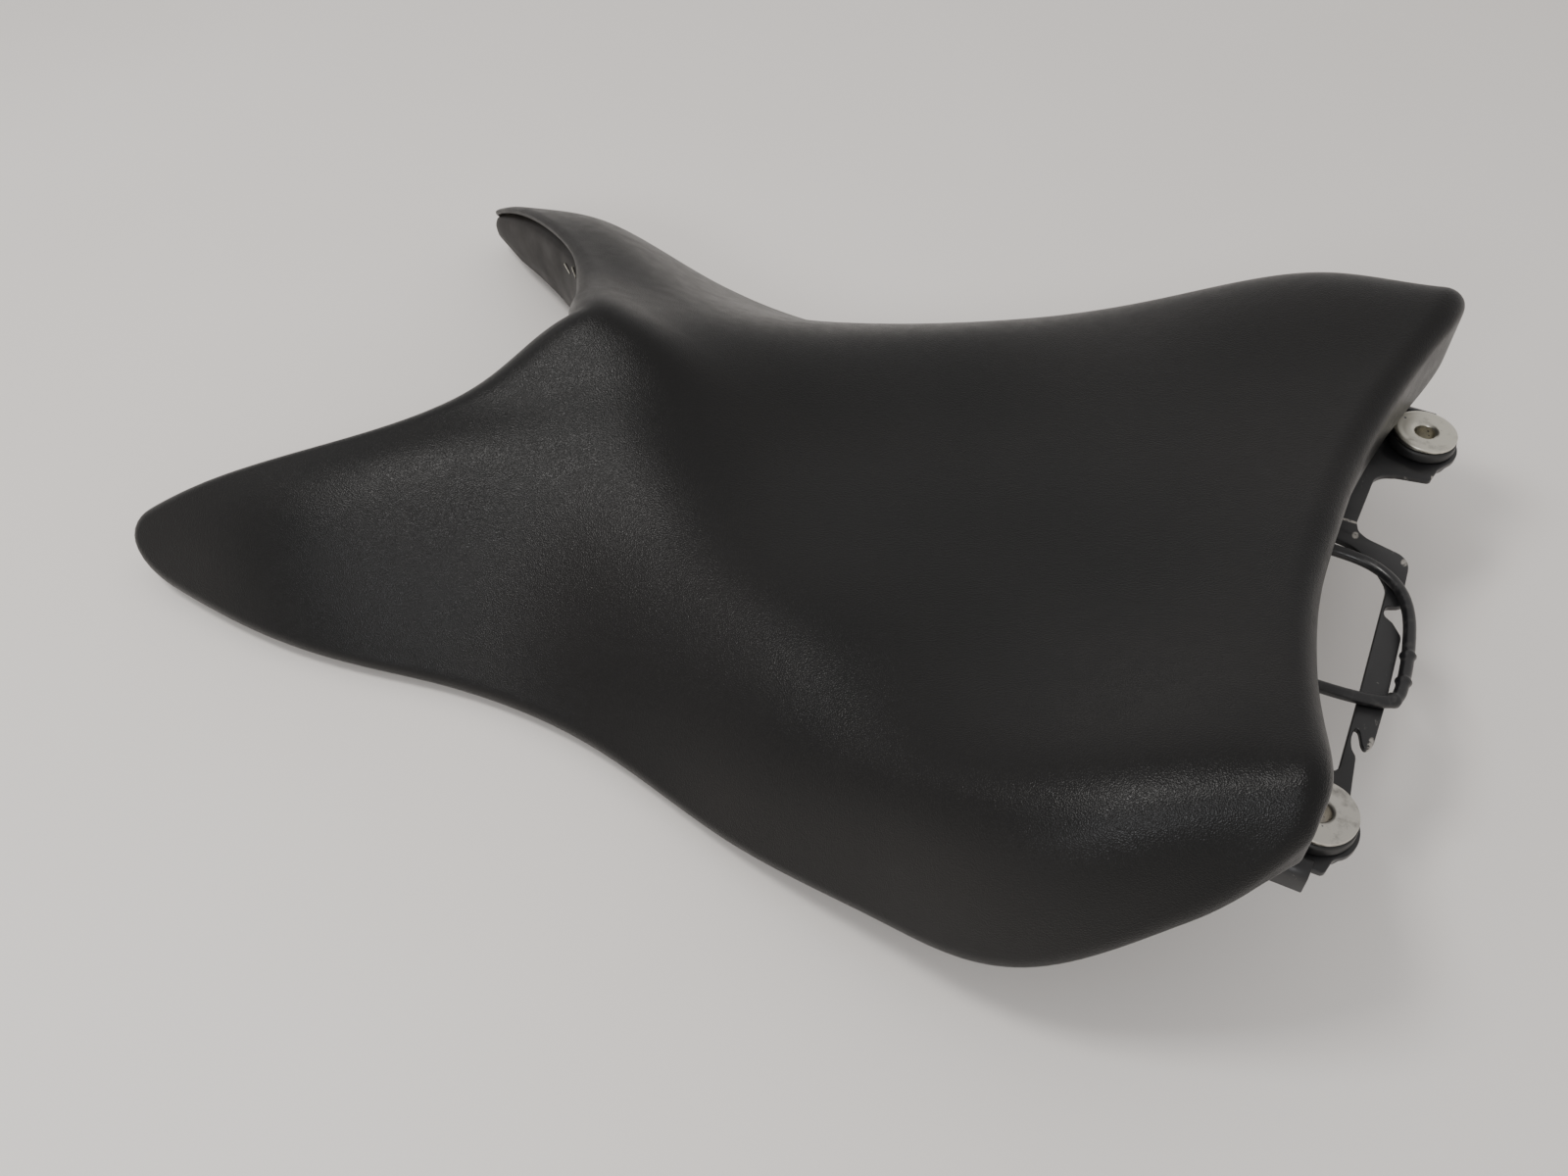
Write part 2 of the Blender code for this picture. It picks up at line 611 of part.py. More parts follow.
def make_bolt(name, centre, radius, depth, finish):
    """A flanged hexagon bolt that goes up through the bracket from below: flange, head and shank."""
    top = PLATE_TOP - PLATE_THICKNESS - GAP
    inside = top - BOLT_FLANGE / 2
    flange_radius = radius * BOLT_FLANGE_RATIO
    head_radius = radius * BOLT_HEAD_RATIO
    shank = turned(name, [(radius, inside), (radius, top + depth)], centre, 10, finish)
    flange_profile = [(flange_radius, top - BOLT_FLANGE), (flange_radius, top)]
    head_profile = [(head_radius, top - radius * BOLT_HEAD_HEIGHT), (head_radius, inside)]
    flange = turned(name + "_flange", flange_profile, centre, 16, finish)
    head = turned(name + "_head", head_profile, centre, 6, finish)
    boolean(shank, flange, "UNION")
    boolean(shank, head, "UNION")


def make_bumper(side, centre, finish):
    """A rubber bumper on the end of a post of the base. The seat rests on its lower faces."""
    rim = BUMPER_RADIUS - BUMPER_EDGE
    top = FLOOR_Z + BUMPER_HEIGHT
    profile = [(rim, FLOOR_Z), (BUMPER_RADIUS, FLOOR_Z + BUMPER_EDGE)]
    profile += [(BUMPER_RADIUS, top - BUMPER_EDGE), (rim, top)]
    turned(f"bumper_{side}", profile, centre, 20, finish)


def make_hook(finish, rivet_finish):
    """The steel tongue under the nose, which slides under the tank, and its two rivets."""
    start, end = HOOK_REACH
    half = HOOK_HALF_WIDTH
    shoulder, tip = half - HOOK_NOSE / 4, half - HOOK_NOSE
    nose = [(end - HOOK_NOSE, shoulder), (end, tip), (end, -tip), (end - HOOK_NOSE, -shoulder)]
    outline = [(start, -half), (start, half), *nose]
    holes = [circle((RIVET_X, sign * RIVET_Y), RIVET_HOLE_RADIUS, 10) for sign in SIDES.values()]
    extruded("front_hook", outline, holes, HOOK_Z - HOOK_THICKNESS, HOOK_Z, finish)
    top = HOOK_Z - HOOK_THICKNESS - GAP
    bottom = top - RIVET_HEAD_HEIGHT
    crown = RIVET_HEAD_RADIUS - RIVET_HEAD_HEIGHT / 2
    head = [(crown, bottom), (RIVET_HEAD_RADIUS, (bottom + top) / 2), (RIVET_HEAD_RADIUS, top)]
    profile = [*head, (RIVET_RADIUS, top), (RIVET_RADIUS, HOOK_Z + BOLT_DEPTH - 1)]
    for side, sign in SIDES.items():
        turned(f"hook_rivet_{side}", profile, (RIVET_X, sign * RIVET_Y), 12, rivet_finish)


def make_cable(finish):
    """The coated wire loop on the bracket, from one anchor round the bar and back to the other."""
    route = np.array([(x, y, CABLE_Z) for x, y in CABLE_ROUTE], float)
    steps = np.linalg.norm(np.diff(route, axis=0), axis=1)
    knots = np.concatenate([[0], np.cumsum(steps)])
    points = natural_spline(knots, route, np.linspace(0, knots[-1], CABLE_POINTS))
    curve = bpy.data.curves.new("cable_loop", "CURVE")
    curve.dimensions = "3D"
    curve.bevel_depth = CABLE_RADIUS * MM
    curve.bevel_resolution = 2
    curve.use_fill_caps = True
    spline = curve.splines.new("POLY")
    spline.points.add(len(points) - 1)
    for point, place in zip(spline.points, points):
        point.co = (*(Vector(place) * MM + DATUM), 1)
    add_object("cable_loop", curve, finish)


def make_anchor(side, y, plastic):
    """A moulded block on the bracket that holds one end of the cable and takes a screw from below."""
    start, end = ANCHOR_REACH
    low = (start, y - ANCHOR_HALF_WIDTH, PLATE_TOP + GAP)
    block = box(f"cable_anchor_{side}", low, (end, y + ANCHOR_HALF_WIDTH, PLATE_TOP + ANCHOR_HEIGHT), plastic)
    bevel(block, ANCHOR_EDGE)
    socket_start = np.array([start - 3, y, CABLE_Z])
    boolean(block, cross_bore(f"socket_{side}", socket_start, CABLE_SOCKET + 3), "DIFFERENCE")
    pilot = [(ANCHOR_HOLE_RADIUS, PLATE_TOP - 3), (ANCHOR_HOLE_RADIUS, PLATE_TOP + 5)]
    boolean(block, turned(f"pilot_{side}", pilot, (ANCHOR_SCREW_X, y), 10, None), "DIFFERENCE")


def cross_bore(name, start, length):
    """A cutter along +X for the cable's end."""
    ring = [(0, y, z) for y, z in circle((0, 0), CABLE_RADIUS + GAP, 12)]
    points = [start + p for p in ring] + [start + p + [length, 0, 0] for p in ring]
    count = len(ring)
    faces = [list(range(count))[::-1], list(range(count, 2 * count))]
    faces += ring_faces(list(range(count)), list(range(count, 2 * count)))
    return add_mesh(name, points, faces, None)


def main():
    for thing in list(bpy.data.objects):
        bpy.data.objects.remove(thing, do_unlink=True)
    vinyl = material("vinyl", (0.018, 0.018, 0.019), 0.5)
    foam = material("foam", (0.75, 0.68, 0.45), 0.95)
    plastic = material("base_plastic", (0.03, 0.03, 0.032), 0.55)
    steel = material("painted_steel", (0.02, 0.02, 0.021), 0.4)
    zinc = material("zinc_plated_steel", (0.55, 0.53, 0.46), 0.35, metallic=1.0)
    rubber = material("rubber", (0.012, 0.012, 0.012), 0.7)
    cable = material("cable_coating", (0.015, 0.015, 0.016), 0.35)
    grid = cover_grid(LENGTH_STEPS + 1, WIDTH_STEPS + 1)
    edge = Edge(grid)
    top_of_base = base_top(grid, edge)
    make_cover(grid, edge, vinyl)
    make_foam(grid, edge, top_of_base, foam)
    make_base(edge, top_of_base, plastic)
    make_bracket(steel)
    for side, sign in SIDES.items():
        make_mount(side, sign * MOUNT_Y, zinc, rubber)
        for place, (x, y) in BUMPER_PLACES.items():
            make_bumper(f"{place}_{side}", (x, sign * y), rubber)
    for place, centre in BOLT_PLACES.items():
        make_bolt(f"bracket_bolt_{place}", centre, BOLT_RADIUS, BOLT_DEPTH + 2, zinc)
    for side, y in ANCHOR_PLACES.items():
        make_anchor(side, y, plastic)
        screw = (ANCHOR_SCREW_X, y)
        make_bolt(f"anchor_screw_{side}", screw, ANCHOR_SCREW_RADIUS, ANCHOR_SCREW_DEPTH, zinc)
    make_hook(steel, zinc)
    make_cable(cable)


main()
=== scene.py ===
import math

import bmesh
import bpy
import numpy as np
from mathutils import Matrix, Vector


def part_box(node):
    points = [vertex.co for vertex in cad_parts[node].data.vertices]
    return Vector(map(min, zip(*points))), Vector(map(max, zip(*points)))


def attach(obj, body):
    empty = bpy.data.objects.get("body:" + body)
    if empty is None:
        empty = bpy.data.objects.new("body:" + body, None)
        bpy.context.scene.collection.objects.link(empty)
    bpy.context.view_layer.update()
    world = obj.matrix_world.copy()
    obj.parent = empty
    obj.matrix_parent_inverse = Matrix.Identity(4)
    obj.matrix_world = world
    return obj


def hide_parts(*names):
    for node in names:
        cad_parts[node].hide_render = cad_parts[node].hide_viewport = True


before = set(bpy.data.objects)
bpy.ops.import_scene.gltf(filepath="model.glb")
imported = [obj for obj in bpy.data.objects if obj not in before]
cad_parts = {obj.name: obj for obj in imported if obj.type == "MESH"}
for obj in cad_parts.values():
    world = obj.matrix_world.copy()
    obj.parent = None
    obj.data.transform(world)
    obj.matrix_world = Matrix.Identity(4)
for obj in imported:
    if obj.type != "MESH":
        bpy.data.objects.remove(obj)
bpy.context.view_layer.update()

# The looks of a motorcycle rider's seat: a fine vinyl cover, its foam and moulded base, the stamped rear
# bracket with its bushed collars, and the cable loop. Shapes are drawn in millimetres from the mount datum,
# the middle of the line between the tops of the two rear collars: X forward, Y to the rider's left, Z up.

MM = 0.001
HARD_EDGE = 35  # degrees between faces from which an edge stays sharp on hard pieces
COLLAR_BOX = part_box("collar_left")
DATUM = Vector(((COLLAR_BOX[0].x + COLLAR_BOX[1].x) / 2, 0, COLLAR_BOX[1].z))
MOUNT_Y = (COLLAR_BOX[0].y + COLLAR_BOX[1].y) / 2 / MM
PLATE_TOP = -7.0
PLATE_THICKNESS = 2.5
FLOOR_Z = -DATUM.z / MM
SIDES = {"left": 1, "right": -1}

CAMERA_PLACE = (43.1, 390.8, 364.5)
CAMERA_RIGHT = (-0.8942, -0.4476, 0.0)
CAMERA_UP = (0.3299, -0.6591, 0.6758)
CAMERA_BACK = (-0.3025, 0.6043, 0.7371)
CAMERA_LENS = 31.5
SENSOR_WIDTH = 36
CLIP_START = 0.01

WORLD_COLOUR = (1.0, 0.975, 0.955)
WORLD_STRENGTH = 0.69
FLOOR_REACH = 3.0
# Area lights: place, target and size in metres, power in watts, colour.
LIGHTS = {
    "overhead": ((0.48, 0.42, 1.45), (0.05, 0.0, 0.0), (0.35, 0.3), 9.5, (1.0, 0.98, 0.95)),
    "window": ((-0.05, 1.4, 0.9), (-0.05, 0.0, 0.05), (0.4, 0.3), 6, (0.97, 0.98, 1.0)),
}

# Control points of the left half of the padded top: one row after another from the rear rim to the rim of
# the tank notch, each from the centre plane out to the lower edge.
COVER_NET = [
    [(33, 0, 30), (32, 36, 31), (26, 76, 37), (17, 110, 45), (13, 131, 46), (10, 146, 28)],
    [(64, 0, 15), (64, 42, 16), (62, 88, 22), (61, 132, 31), (61, 158, 18), (61, 173, -24)],
    [(120, 0, -2), (121, 42, -2), (122, 86, 0), (124, 128, 0), (124, 153, -12), (120, 170, -49)],
    [(182, 0, -13), (184, 36, -12), (187, 74, -10), (189, 108, -15), (190, 138, -36), (186, 157, -63)],
    [(240, 0, -14), (243, 30, -13), (248, 60, -14), (252, 89, -24), (254, 117, -43), (254, 140, -66)],
    [(284, 0, 2), (290, 24, 0), (301, 47, -6), (314, 78, -22), (322, 111, -45), (326, 140, -67)],
    [(308, 0, 13.5), (321, 25, 6), (340, 51, -5), (371, 86, -14), (404, 124, -32), (415, 153, -67)],
    [(323, 0, 18), (336, 25, 8.5), (357, 50, -4), (396, 84, -15), (448, 118, -33), (495, 145, -65)],
]
ROWS = 131
COLUMNS = 161
TIP_ROUNDING = (0.04, 0.085)
REAR_ROUNDING = (0.05, 0.12)

COVER_THICKNESS = 1.5
GAP = 0.3
ROLL_RADIUS = 8.0
NOSE_ROLL_RADIUS = 15.0
WING_ROLL_RADIUS = 5.0
WING_ROLL_SHARE = 0.55  # how much of its turn the roll makes on a wing before the bare panel starts
SIDE_ROLL_RADIUS = 6.0
ROLL_STEPS = 8
WALL_STEPS = 5
FOLD_RADIUS = 3.0
FOLD_STEPS = 5
FOLD_LIP = 6.0
NOTCH_TURN = 0.3  # how far the hem turns in at the tank notch, where 1 is all the way
SEAM_DROP = 0.5  # how far the hem reaches down against a bare panel, as a share of FOLD_RADIUS
CORNER_REACH = 40.0
CORNER_LIP_LOSS = 0.85
CORNER_ROOM = 6.0
REAR_HEM_Z = 4.0

# How many times values round the border are averaged with their neighbours.
ALONG_SMOOTHING = 3
OUTWARD_SMOOTHING = 6
RADIUS_SMOOTHING = 120
SHARE_SMOOTHING = 25
BARE_SMOOTHING = 4
WALL_SMOOTHING = 60
FOOT_SMOOTHING = 3
TURN_SMOOTHING = 40
RIM_SMOOTHING = 20

SIDE_WALL = 1.0
SEAM_PLACE = (0.40, 0.50)  # where the cover's wall ends and the wing's bare panel starts

FOAM_EDGE_DEPTH = 12.0
FOAM_MIDDLE_DEPTH = 30.0
BASE_THICKNESS = 2.5
BASE_SIDE_RIM = 2.0
BASE_REAR_RIM = 9.0
BASE_NOTCH_Z = -28.0
NOTCH_FOOT_START = 0.1875
NOTCH_FOOT_STEEPNESS = 1.6
BASE_WING_Z = -68.0
PANEL_BULGE = 1.5
PANEL_LEAN = 2.0
PANEL_INSET = 3.1
PANEL_LIFT = 4.0  # how far the panel comes out again below the dark gap under the cover's hem
PANEL_LIFT_REACH = (0.04, 0.2)
PANEL_SHARES = (0.03, 0.06, 0.09, 0.12, 0.16, 0.2, 0.3, 0.45, 0.6, 0.8, 1.0)
PAD_TOP = 6.0
PAD_FRONT = 50.0
PAD_HALF_WIDTH = 118.0

CABLE_RADIUS = 2.25
CABLE_Z = PLATE_TOP + CABLE_RADIUS + GAP
CABLE_ROUTE = [
    (38, -21), (28, -21), (16, -21), (5, -19.5), (-5, -13), (-11, -2), (-13.5, 10), (-14.8, 22), (-15.2, 34),
    (-13.6, 42), (-6, 45.5), (6, 47), (18, 47.5), (28, 48), (38, 48),
]
CABLE_POINTS = 160
CABLE_NUBS = (20.0, 32.5, 42.0)  # places across the seat where the jacket has a small swelling
CABLE_SWELLING = 0.3

PLATE_HOLE_RADIUS = 10.0
PLATE_FRONT = 47.0
PLATE_END = 118.5
PLATE_MOUNT_RADIUS = 14.5
PLATE_EDGE = 0.45
END_BEND = 2.5
END_DROP = 8.0
END_REACH = (-3.0, 40.0)
BOLT_HOLE_RADIUS = 3.4
BOLT_PLACES = {"left": (38, 100), "right": (38, -100), "middle_left": (39, 68), "middle_right": (39, -42)}
BOLT_RADIUS = 3.0
BOSS_RADIUS = 8.0
ANCHOR_PLACES = {"right": -21, "left": 48}
ANCHOR_SCREW_X = 42.0
ANCHOR_SCREW_RADIUS = 2.0
ANCHOR_REACH = (31, 46)
ANCHOR_HALF_WIDTH = 5.0
ANCHOR_HEIGHT = 8.0

COLLAR_FLANGE_RADIUS = 12.5
COLLAR_FLANGE = 2.0
COLLAR_RADIUS = 6.0
COLLAR_BORE_RADIUS = 4.0
GROMMET_RADIUS = 13.2
GROMMET_LOWER_FLANGE = 4.0
GROMMET_EDGE = 1.2

BUMPER_PLACES = {"front": (292, 72), "rear": (118, 96)}
BUMPER_RADIUS = 13.0
BUMPER_HEIGHT = 14.0
POST_RADIUS = 9.0
POST_RIBS = 4
HOOK_HALF_WIDTH = 20.0
HOOK_THICKNESS = 3.0
HOOK_Z = -37.0
HOOK_REACH = (284, 354)
RIVET_PLACES = {"left": (293, 11), "right": (293, -11)}
RIVET_HOLE_RADIUS = 2.8

STAPLE_SPACING = 17.0
STAPLE_LENGTH = 9.0
STAPLE_WIRE = 0.45
STAPLE_TURN = 1.2
STAPLE_LEAST_LIP = 3.5
# Staples on each wing's panel: share of its height (one of PANEL_SHARES) and place across the seat.
PANEL_STAPLES = ((0.3, 0.575), (0.2, 0.525))

# Where the paint is rubbed through on the bracket, and the painted highlight across the neck: x, y and half
# the length along x and y.
WORN_AND_HIGHLIGHT_PLACES = [
    # The first place is a painted highlight: a thin bright strip across the neck where the real plate bends.
    (16.5, -42.5, 5.0, 0.7), (13.2, -35.5, 1.2, 2.0), (-1.0, -90.0, 3.5, 0.9), (-8.0, -82.5, 0.8, 1.6),
    (-6.0, -29.0, 1.2, 2.0), (-10.5, 62.0, 1.0, 3.0),
]


# ---------------- camera, floor and light

def add_object(name, data):
    thing = bpy.data.objects.new(name, data)
    bpy.context.scene.collection.objects.link(thing)
    return thing


def place(point):
    """A point in the part's frame, in metres, from millimetres from the datum."""
    return DATUM + Vector(point) * MM


def add_camera():
    data = bpy.data.cameras.new("camera")
    data.lens = CAMERA_LENS
    data.sensor_width = SENSOR_WIDTH
    data.clip_start = CLIP_START
    camera = add_object("camera", data)
    turn = Matrix((CAMERA_RIGHT, CAMERA_UP, CAMERA_BACK)).transposed().to_4x4()
    camera.matrix_world = Matrix.Translation(place(CAMERA_PLACE)) @ turn
    bpy.context.scene.camera = camera


def add_light(name, where, target, size, power, colour):
    data = bpy.data.lights.new(name, "AREA")
    data.shape = "RECTANGLE"
    data.size, data.size_y = size
    data.energy = power
    data.color = colour
    lamp = add_object(name, data)
    lamp.location = where
    lamp.rotation_euler = (Vector(target) - Vector(where)).to_track_quat("-Z", "Y").to_euler()


def add_studio():
    world = bpy.data.worlds.new("studio")
    world.use_nodes = True
    background = world.node_tree.nodes["Background"]
    background.inputs["Color"].default_value = (*WORLD_COLOUR, 1)
    background.inputs["Strength"].default_value = WORLD_STRENGTH
    bpy.context.scene.world = world
    for name, settings in LIGHTS.items():
        add_light(name, *settings)
    data = bpy.data.meshes.new("floor")
    corners = [(x * FLOOR_REACH, y * FLOOR_REACH, 0) for x, y in ((-1, -1), (1, -1), (1, 1), (-1, 1))]
    data.from_pydata(corners, [], [(0, 1, 2, 3)])
    floor = add_object("floor", data)
    data.materials.append(floor_material())


# ---------------- materials

class Shader:
    """A Principled material with a few short ways to add nodes to it."""

    def __init__(self, name, colour, roughness, metallic=0.0, **sockets):
        self.material = bpy.data.materials.new(name)
        self.material.use_nodes = True
        self.tree = self.material.node_tree
        self.principled = self.tree.nodes["Principled BSDF"]
        self.set(**{"Base Color": (*colour, 1), "Roughness": roughness, "Metallic": metallic, **sockets})
        self.coordinates = self.tree.nodes.new("ShaderNodeTexCoord").outputs["Object"]

    def set(self, **sockets):
        for socket, value in sockets.items():
            self.principled.inputs[socket].default_value = value

    def node(self, kind, inputs, **settings):
        made = self.tree.nodes.new(kind)
        for key, value in settings.items():
            setattr(made, key, value)
        for key, value in inputs.items():
            self.feed(made.inputs[key], value)
        return made

    def feed(self, socket, value):
        if isinstance(value, bpy.types.NodeSocket):
            self.tree.links.new(value, socket)
        else:
            socket.default_value = value

    def noise(self, scale, detail=3.0, roughness=0.5, stretch=None):
        inputs = {"Vector": self.stretched(stretch), "Scale": scale, "Detail": detail, "Roughness": roughness}
        return self.node("ShaderNodeTexNoise", inputs).outputs["Fac"]

    def cells(self, scale, feature="F1"):
        inputs = {"Vector": self.coordinates, "Scale": scale}
        return self.node("ShaderNodeTexVoronoi", inputs, feature=feature).outputs["Distance"]

    def stretched(self, stretch):
        if stretch is None:
            return self.coordinates
        inputs = {"Vector": self.coordinates, "Scale": stretch}
        return self.node("ShaderNodeMapping", inputs).outputs["Vector"]

    def ramp(self, value, low, high, to_low=0.0, to_high=1.0):
        inputs = {"Value": value, "From Min": low, "From Max": high, "To Min": to_low, "To Max": to_high}
        return self.node("ShaderNodeMapRange", inputs).outputs["Result"]

    def math(self, operation, first, second):
        return self.node("ShaderNodeMath", {0: first, 1: second}, operation=operation).outputs[0]

    def mix(self, share, first, second):
        made = self.node("ShaderNodeMix", {}, data_type="RGBA")
        for socket, value in (("Factor_Float", share), ("A_Color", first), ("B_Color", second)):
            target = next(i for i in made.inputs if i.identifier == socket)
            self.feed(target, (*value, 1) if isinstance(value, tuple) else value)
        return next(o for o in made.outputs if o.identifier == "Result_Color")

    def connect(self, output, socket):
        self.tree.links.new(output, self.principled.inputs[socket])

    def paint(self, share, first, second):
        self.connect(self.mix(share, first, second), "Base Color")

    def bumps(self, *layers):
        """Layers of (height, strength, distance in metres), the first one innermost."""
        normal = None
        for height, strength, distance in layers:
            inputs = {"Height": height, "Strength": strength, "Distance": distance}
            if normal is not None:
                inputs["Normal"] = normal
            normal = self.node("ShaderNodeBump", inputs).outputs["Normal"]
        self.connect(normal, "Normal")


def floor_material():
    floor = Shader("floor_paint", (0.89, 0.86, 0.825), 0.5)
    clouds = floor.noise(2.5, 4)
    floor.paint(floor.ramp(clouds, 0.3, 0.7), (0.87, 0.835, 0.80), (0.91, 0.88, 0.85))
    return floor.material


def vinyl_material():
    """Black vinyl with a fine pebbled grain, a little dust and roughness that varies a little at random."""
    vinyl = Shader("vinyl", (0.004, 0.004, 0.004), 0.38, **{"Specular IOR Level": 0.27})
    broad = vinyl.noise(9, 3)
    dusty = vinyl.mix(vinyl.ramp(broad, 0.35, 0.7), (0.0030, 0.0031, 0.0032), (0.0065, 0.0058, 0.0057))
    specks = vinyl.ramp(vinyl.cells(55), 0.016, 0.011)
    scarce = vinyl.ramp(vinyl.noise(14, 2), 0.60, 0.66)
    vinyl.paint(vinyl.math("MULTIPLY", specks, scarce), dusty, (0.42, 0.40, 0.37))
    pebbles = vinyl.cells(2400, feature="SMOOTH_F1")
    vinyl.connect(vinyl.ramp(vinyl.noise(160, 4), 0.3, 0.7, 0.29, 0.37), "Roughness")
    vinyl.bumps((pebbles, 0.55, 0.0003))
    return vinyl.material


def foam_material():
    foam = Shader("foam", (0.75, 0.68, 0.45), 0.95)
    cells = foam.cells(500)
    foam.paint(foam.ramp(foam.noise(20), 0.3, 0.7), (0.70, 0.60, 0.36), (0.80, 0.73, 0.52))
    foam.bumps((cells, 0.6, 0.0006))
    return foam.material


def moulded_material(name, dark, light, roughness):
    """Moulded plastic with a fine spark-eroded texture and a little dust."""
    plastic = Shader(name, dark, roughness, **{"Specular IOR Level": 0.17})
    plastic.paint(plastic.ramp(plastic.noise(25, 4), 0.35, 0.75), dark, light)
    sheen = plastic.ramp(plastic.noise(60), 0.3, 0.7, roughness - 0.07, roughness + 0.08)
    plastic.connect(sheen, "Roughness")
    plastic.bumps((plastic.noise(30, 2), 0.15, 0.0008), (plastic.noise(2200, 2), 0.22, 0.0001))
    return plastic.material


def rubbed_and_highlight_places(steel):
    """1 at the places on the bracket where paint is rubbed through, and along the painted highlight strip
    across the neck, 0 elsewhere.
    """
    total = 0.0
    vector_math = "ShaderNodeVectorMath"
    for x, y, half_x, half_y in WORN_AND_HIGHLIGHT_PLACES:
        centre = place((x, y, PLATE_TOP))
        stretch = (1 / (half_x * MM), 1 / (half_y * MM), 1 / (5 * MM))
        near = steel.node(vector_math, {0: steel.coordinates, 1: centre}, operation="SUBTRACT").outputs[0]
        scaled = steel.node(vector_math, {0: near, 1: stretch}, operation="MULTIPLY").outputs[0]
        distance = steel.node(vector_math, {0: scaled}, operation="LENGTH").outputs["Value"]
        total = steel.math("MAXIMUM", steel.ramp(distance, 1.15, 0.75), total)
    return total


def painted_steel_material():
    """Black paint over steel, with bright chips, rubbed spots and a painted highlight strip across the neck
    where the real plate bends.
    """
    steel = Shader("painted_steel", (0.014, 0.014, 0.015), 0.38)
    flecks = steel.ramp(steel.cells(170), 0.17, 0.10)
    chips_and_highlight = steel.ramp(steel.math("MULTIPLY", flecks, steel.noise(45, 5)), 0.56, 0.62)
    scuffs = steel.ramp(steel.noise(260, 6, 0.7, stretch=(1, 0.25, 1)), 0.63, 0.70)
    # Painted highlight: the neck strip among these places is painted bright and nearly metallic, standing in
    # for light on the plate's bend.
    rubbed_and_highlight = steel.math("MULTIPLY", rubbed_and_highlight_places(steel), steel.ramp(steel.noise(600, 3), 0.35, 0.5))
    chips_and_highlight = steel.math("MAXIMUM", chips_and_highlight, rubbed_and_highlight)
    wear_and_highlight = steel.math("MAXIMUM", chips_and_highlight, steel.math("MULTIPLY", scuffs, 0.25))
    grey = steel.mix(steel.ramp(steel.noise(30, 4), 0.35, 0.7), (0.010, 0.010, 0.011), (0.022, 0.022, 0.023))
    steel.paint(wear_and_highlight, grey, (0.40, 0.38, 0.35))
    steel.connect(steel.ramp(wear_and_highlight, 0, 1, 0.36, 0.30), "Roughness")
    steel.connect(steel.ramp(chips_and_highlight, 0, 1, 0.0, 0.9), "Metallic")
    steel.bumps((steel.noise(900, 2), 0.12, 0.00012), (wear_and_highlight, -0.3, 0.00015))
    return steel.material


def zinc_material(name, bright, tarnish, amount):
    """Yellowish zinc plating with tarnish, fine turning marks and small dark spots."""
    zinc = Shader(name, bright, 0.34, metallic=1.0)
    cloudy = zinc.ramp(zinc.noise(130, 6, 0.65), 0.60 - amount, 0.78 - amount)
    flecks = zinc.ramp(zinc.cells(260), 0.22, 0.12)
    spots = zinc.ramp(zinc.math("MULTIPLY", flecks, zinc.noise(110, 3)), 0.48, 0.60)
    plated = zinc.mix(cloudy, bright, tarnish)
    zinc.paint(spots, plated, (0.05, 0.06, 0.09))
    zinc.connect(zinc.ramp(cloudy, 0, 1, 0.30, 0.50), "Roughness")
    zinc.bumps((zinc.noise(1500, 3), 0.10, 0.00008), (cloudy, 0.10, 0.0001))
    return zinc.material


def rubber_material():
    rubber = Shader("rubber", (0.012, 0.012, 0.012), 0.5)
    bloom = rubber.ramp(rubber.noise(90, 4), 0.45, 0.75)
    rubber.paint(bloom, (0.010, 0.010, 0.010), (0.026, 0.026, 0.025))
    rubber.connect(rubber.ramp(bloom, 0, 1, 0.42, 0.62), "Roughness")
    rubber.bumps((rubber.noise(1200, 2), 0.15, 0.0001))
    return rubber.material


def cable_material():
    """A smooth black plastic jacket, slightly scuffed along its length."""
    jacket = Shader("cable_jacket", (0.014, 0.014, 0.015), 0.34)
    scuffs = jacket.ramp(jacket.noise(330, 5), 0.52, 0.72)
    jacket.paint(scuffs, (0.012, 0.012, 0.013), (0.035, 0.034, 0.033))
    jacket.connect(jacket.ramp(scuffs, 0, 1, 0.30, 0.50), "Roughness")
    jacket.bumps((jacket.noise(700, 2), 0.12, 0.0001))
    return jacket.material


# ---------------- the padded surface

def natural_spline(knots, values, places):
    """Points at places on the natural cubic spline that runs through values at knots."""
    steps = np.diff(knots)
    count = len(knots)
    matrix = np.eye(count)
    right = np.zeros_like(values)
    for i in range(1, count - 1):
        matrix[i, i - 1 : i + 2] = steps[i - 1], 2 * (steps[i - 1] + steps[i]), steps[i]
        right[i] = 6 * ((values[i + 1] - values[i]) / steps[i] - (values[i] - values[i - 1]) / steps[i - 1])
    bend = np.linalg.solve(matrix, right.reshape(count, -1)).reshape(values.shape)
    spans = np.clip(np.searchsorted(knots, places, side="right") - 1, 0, count - 2)
    shape = (-1,) + (1,) * (values.ndim - 1)
    width = steps[spans].reshape(shape)
    before = ((knots[spans + 1] - places) / steps[spans]).reshape(shape)
    after = 1 - before
    straight = before * values[spans] + after * values[spans + 1]
    curved = (before**3 - before) * bend[spans] + (after**3 - after) * bend[spans + 1]
    return straight + curved * width**2 / 6


def chord_knots(points, axis):
    """Knots from 0 to 1, spaced like the mean distance between the rows along an axis of the net."""
    lengths = np.linalg.norm(np.diff(points, axis=axis), axis=2).mean(axis=1 - axis)
    knots = np.concatenate([[0], np.cumsum(lengths)])
    return knots / knots[-1]


def unit(vectors):
    return vectors / np.maximum(np.linalg.norm(vectors, axis=-1, keepdims=True), 1e-12)


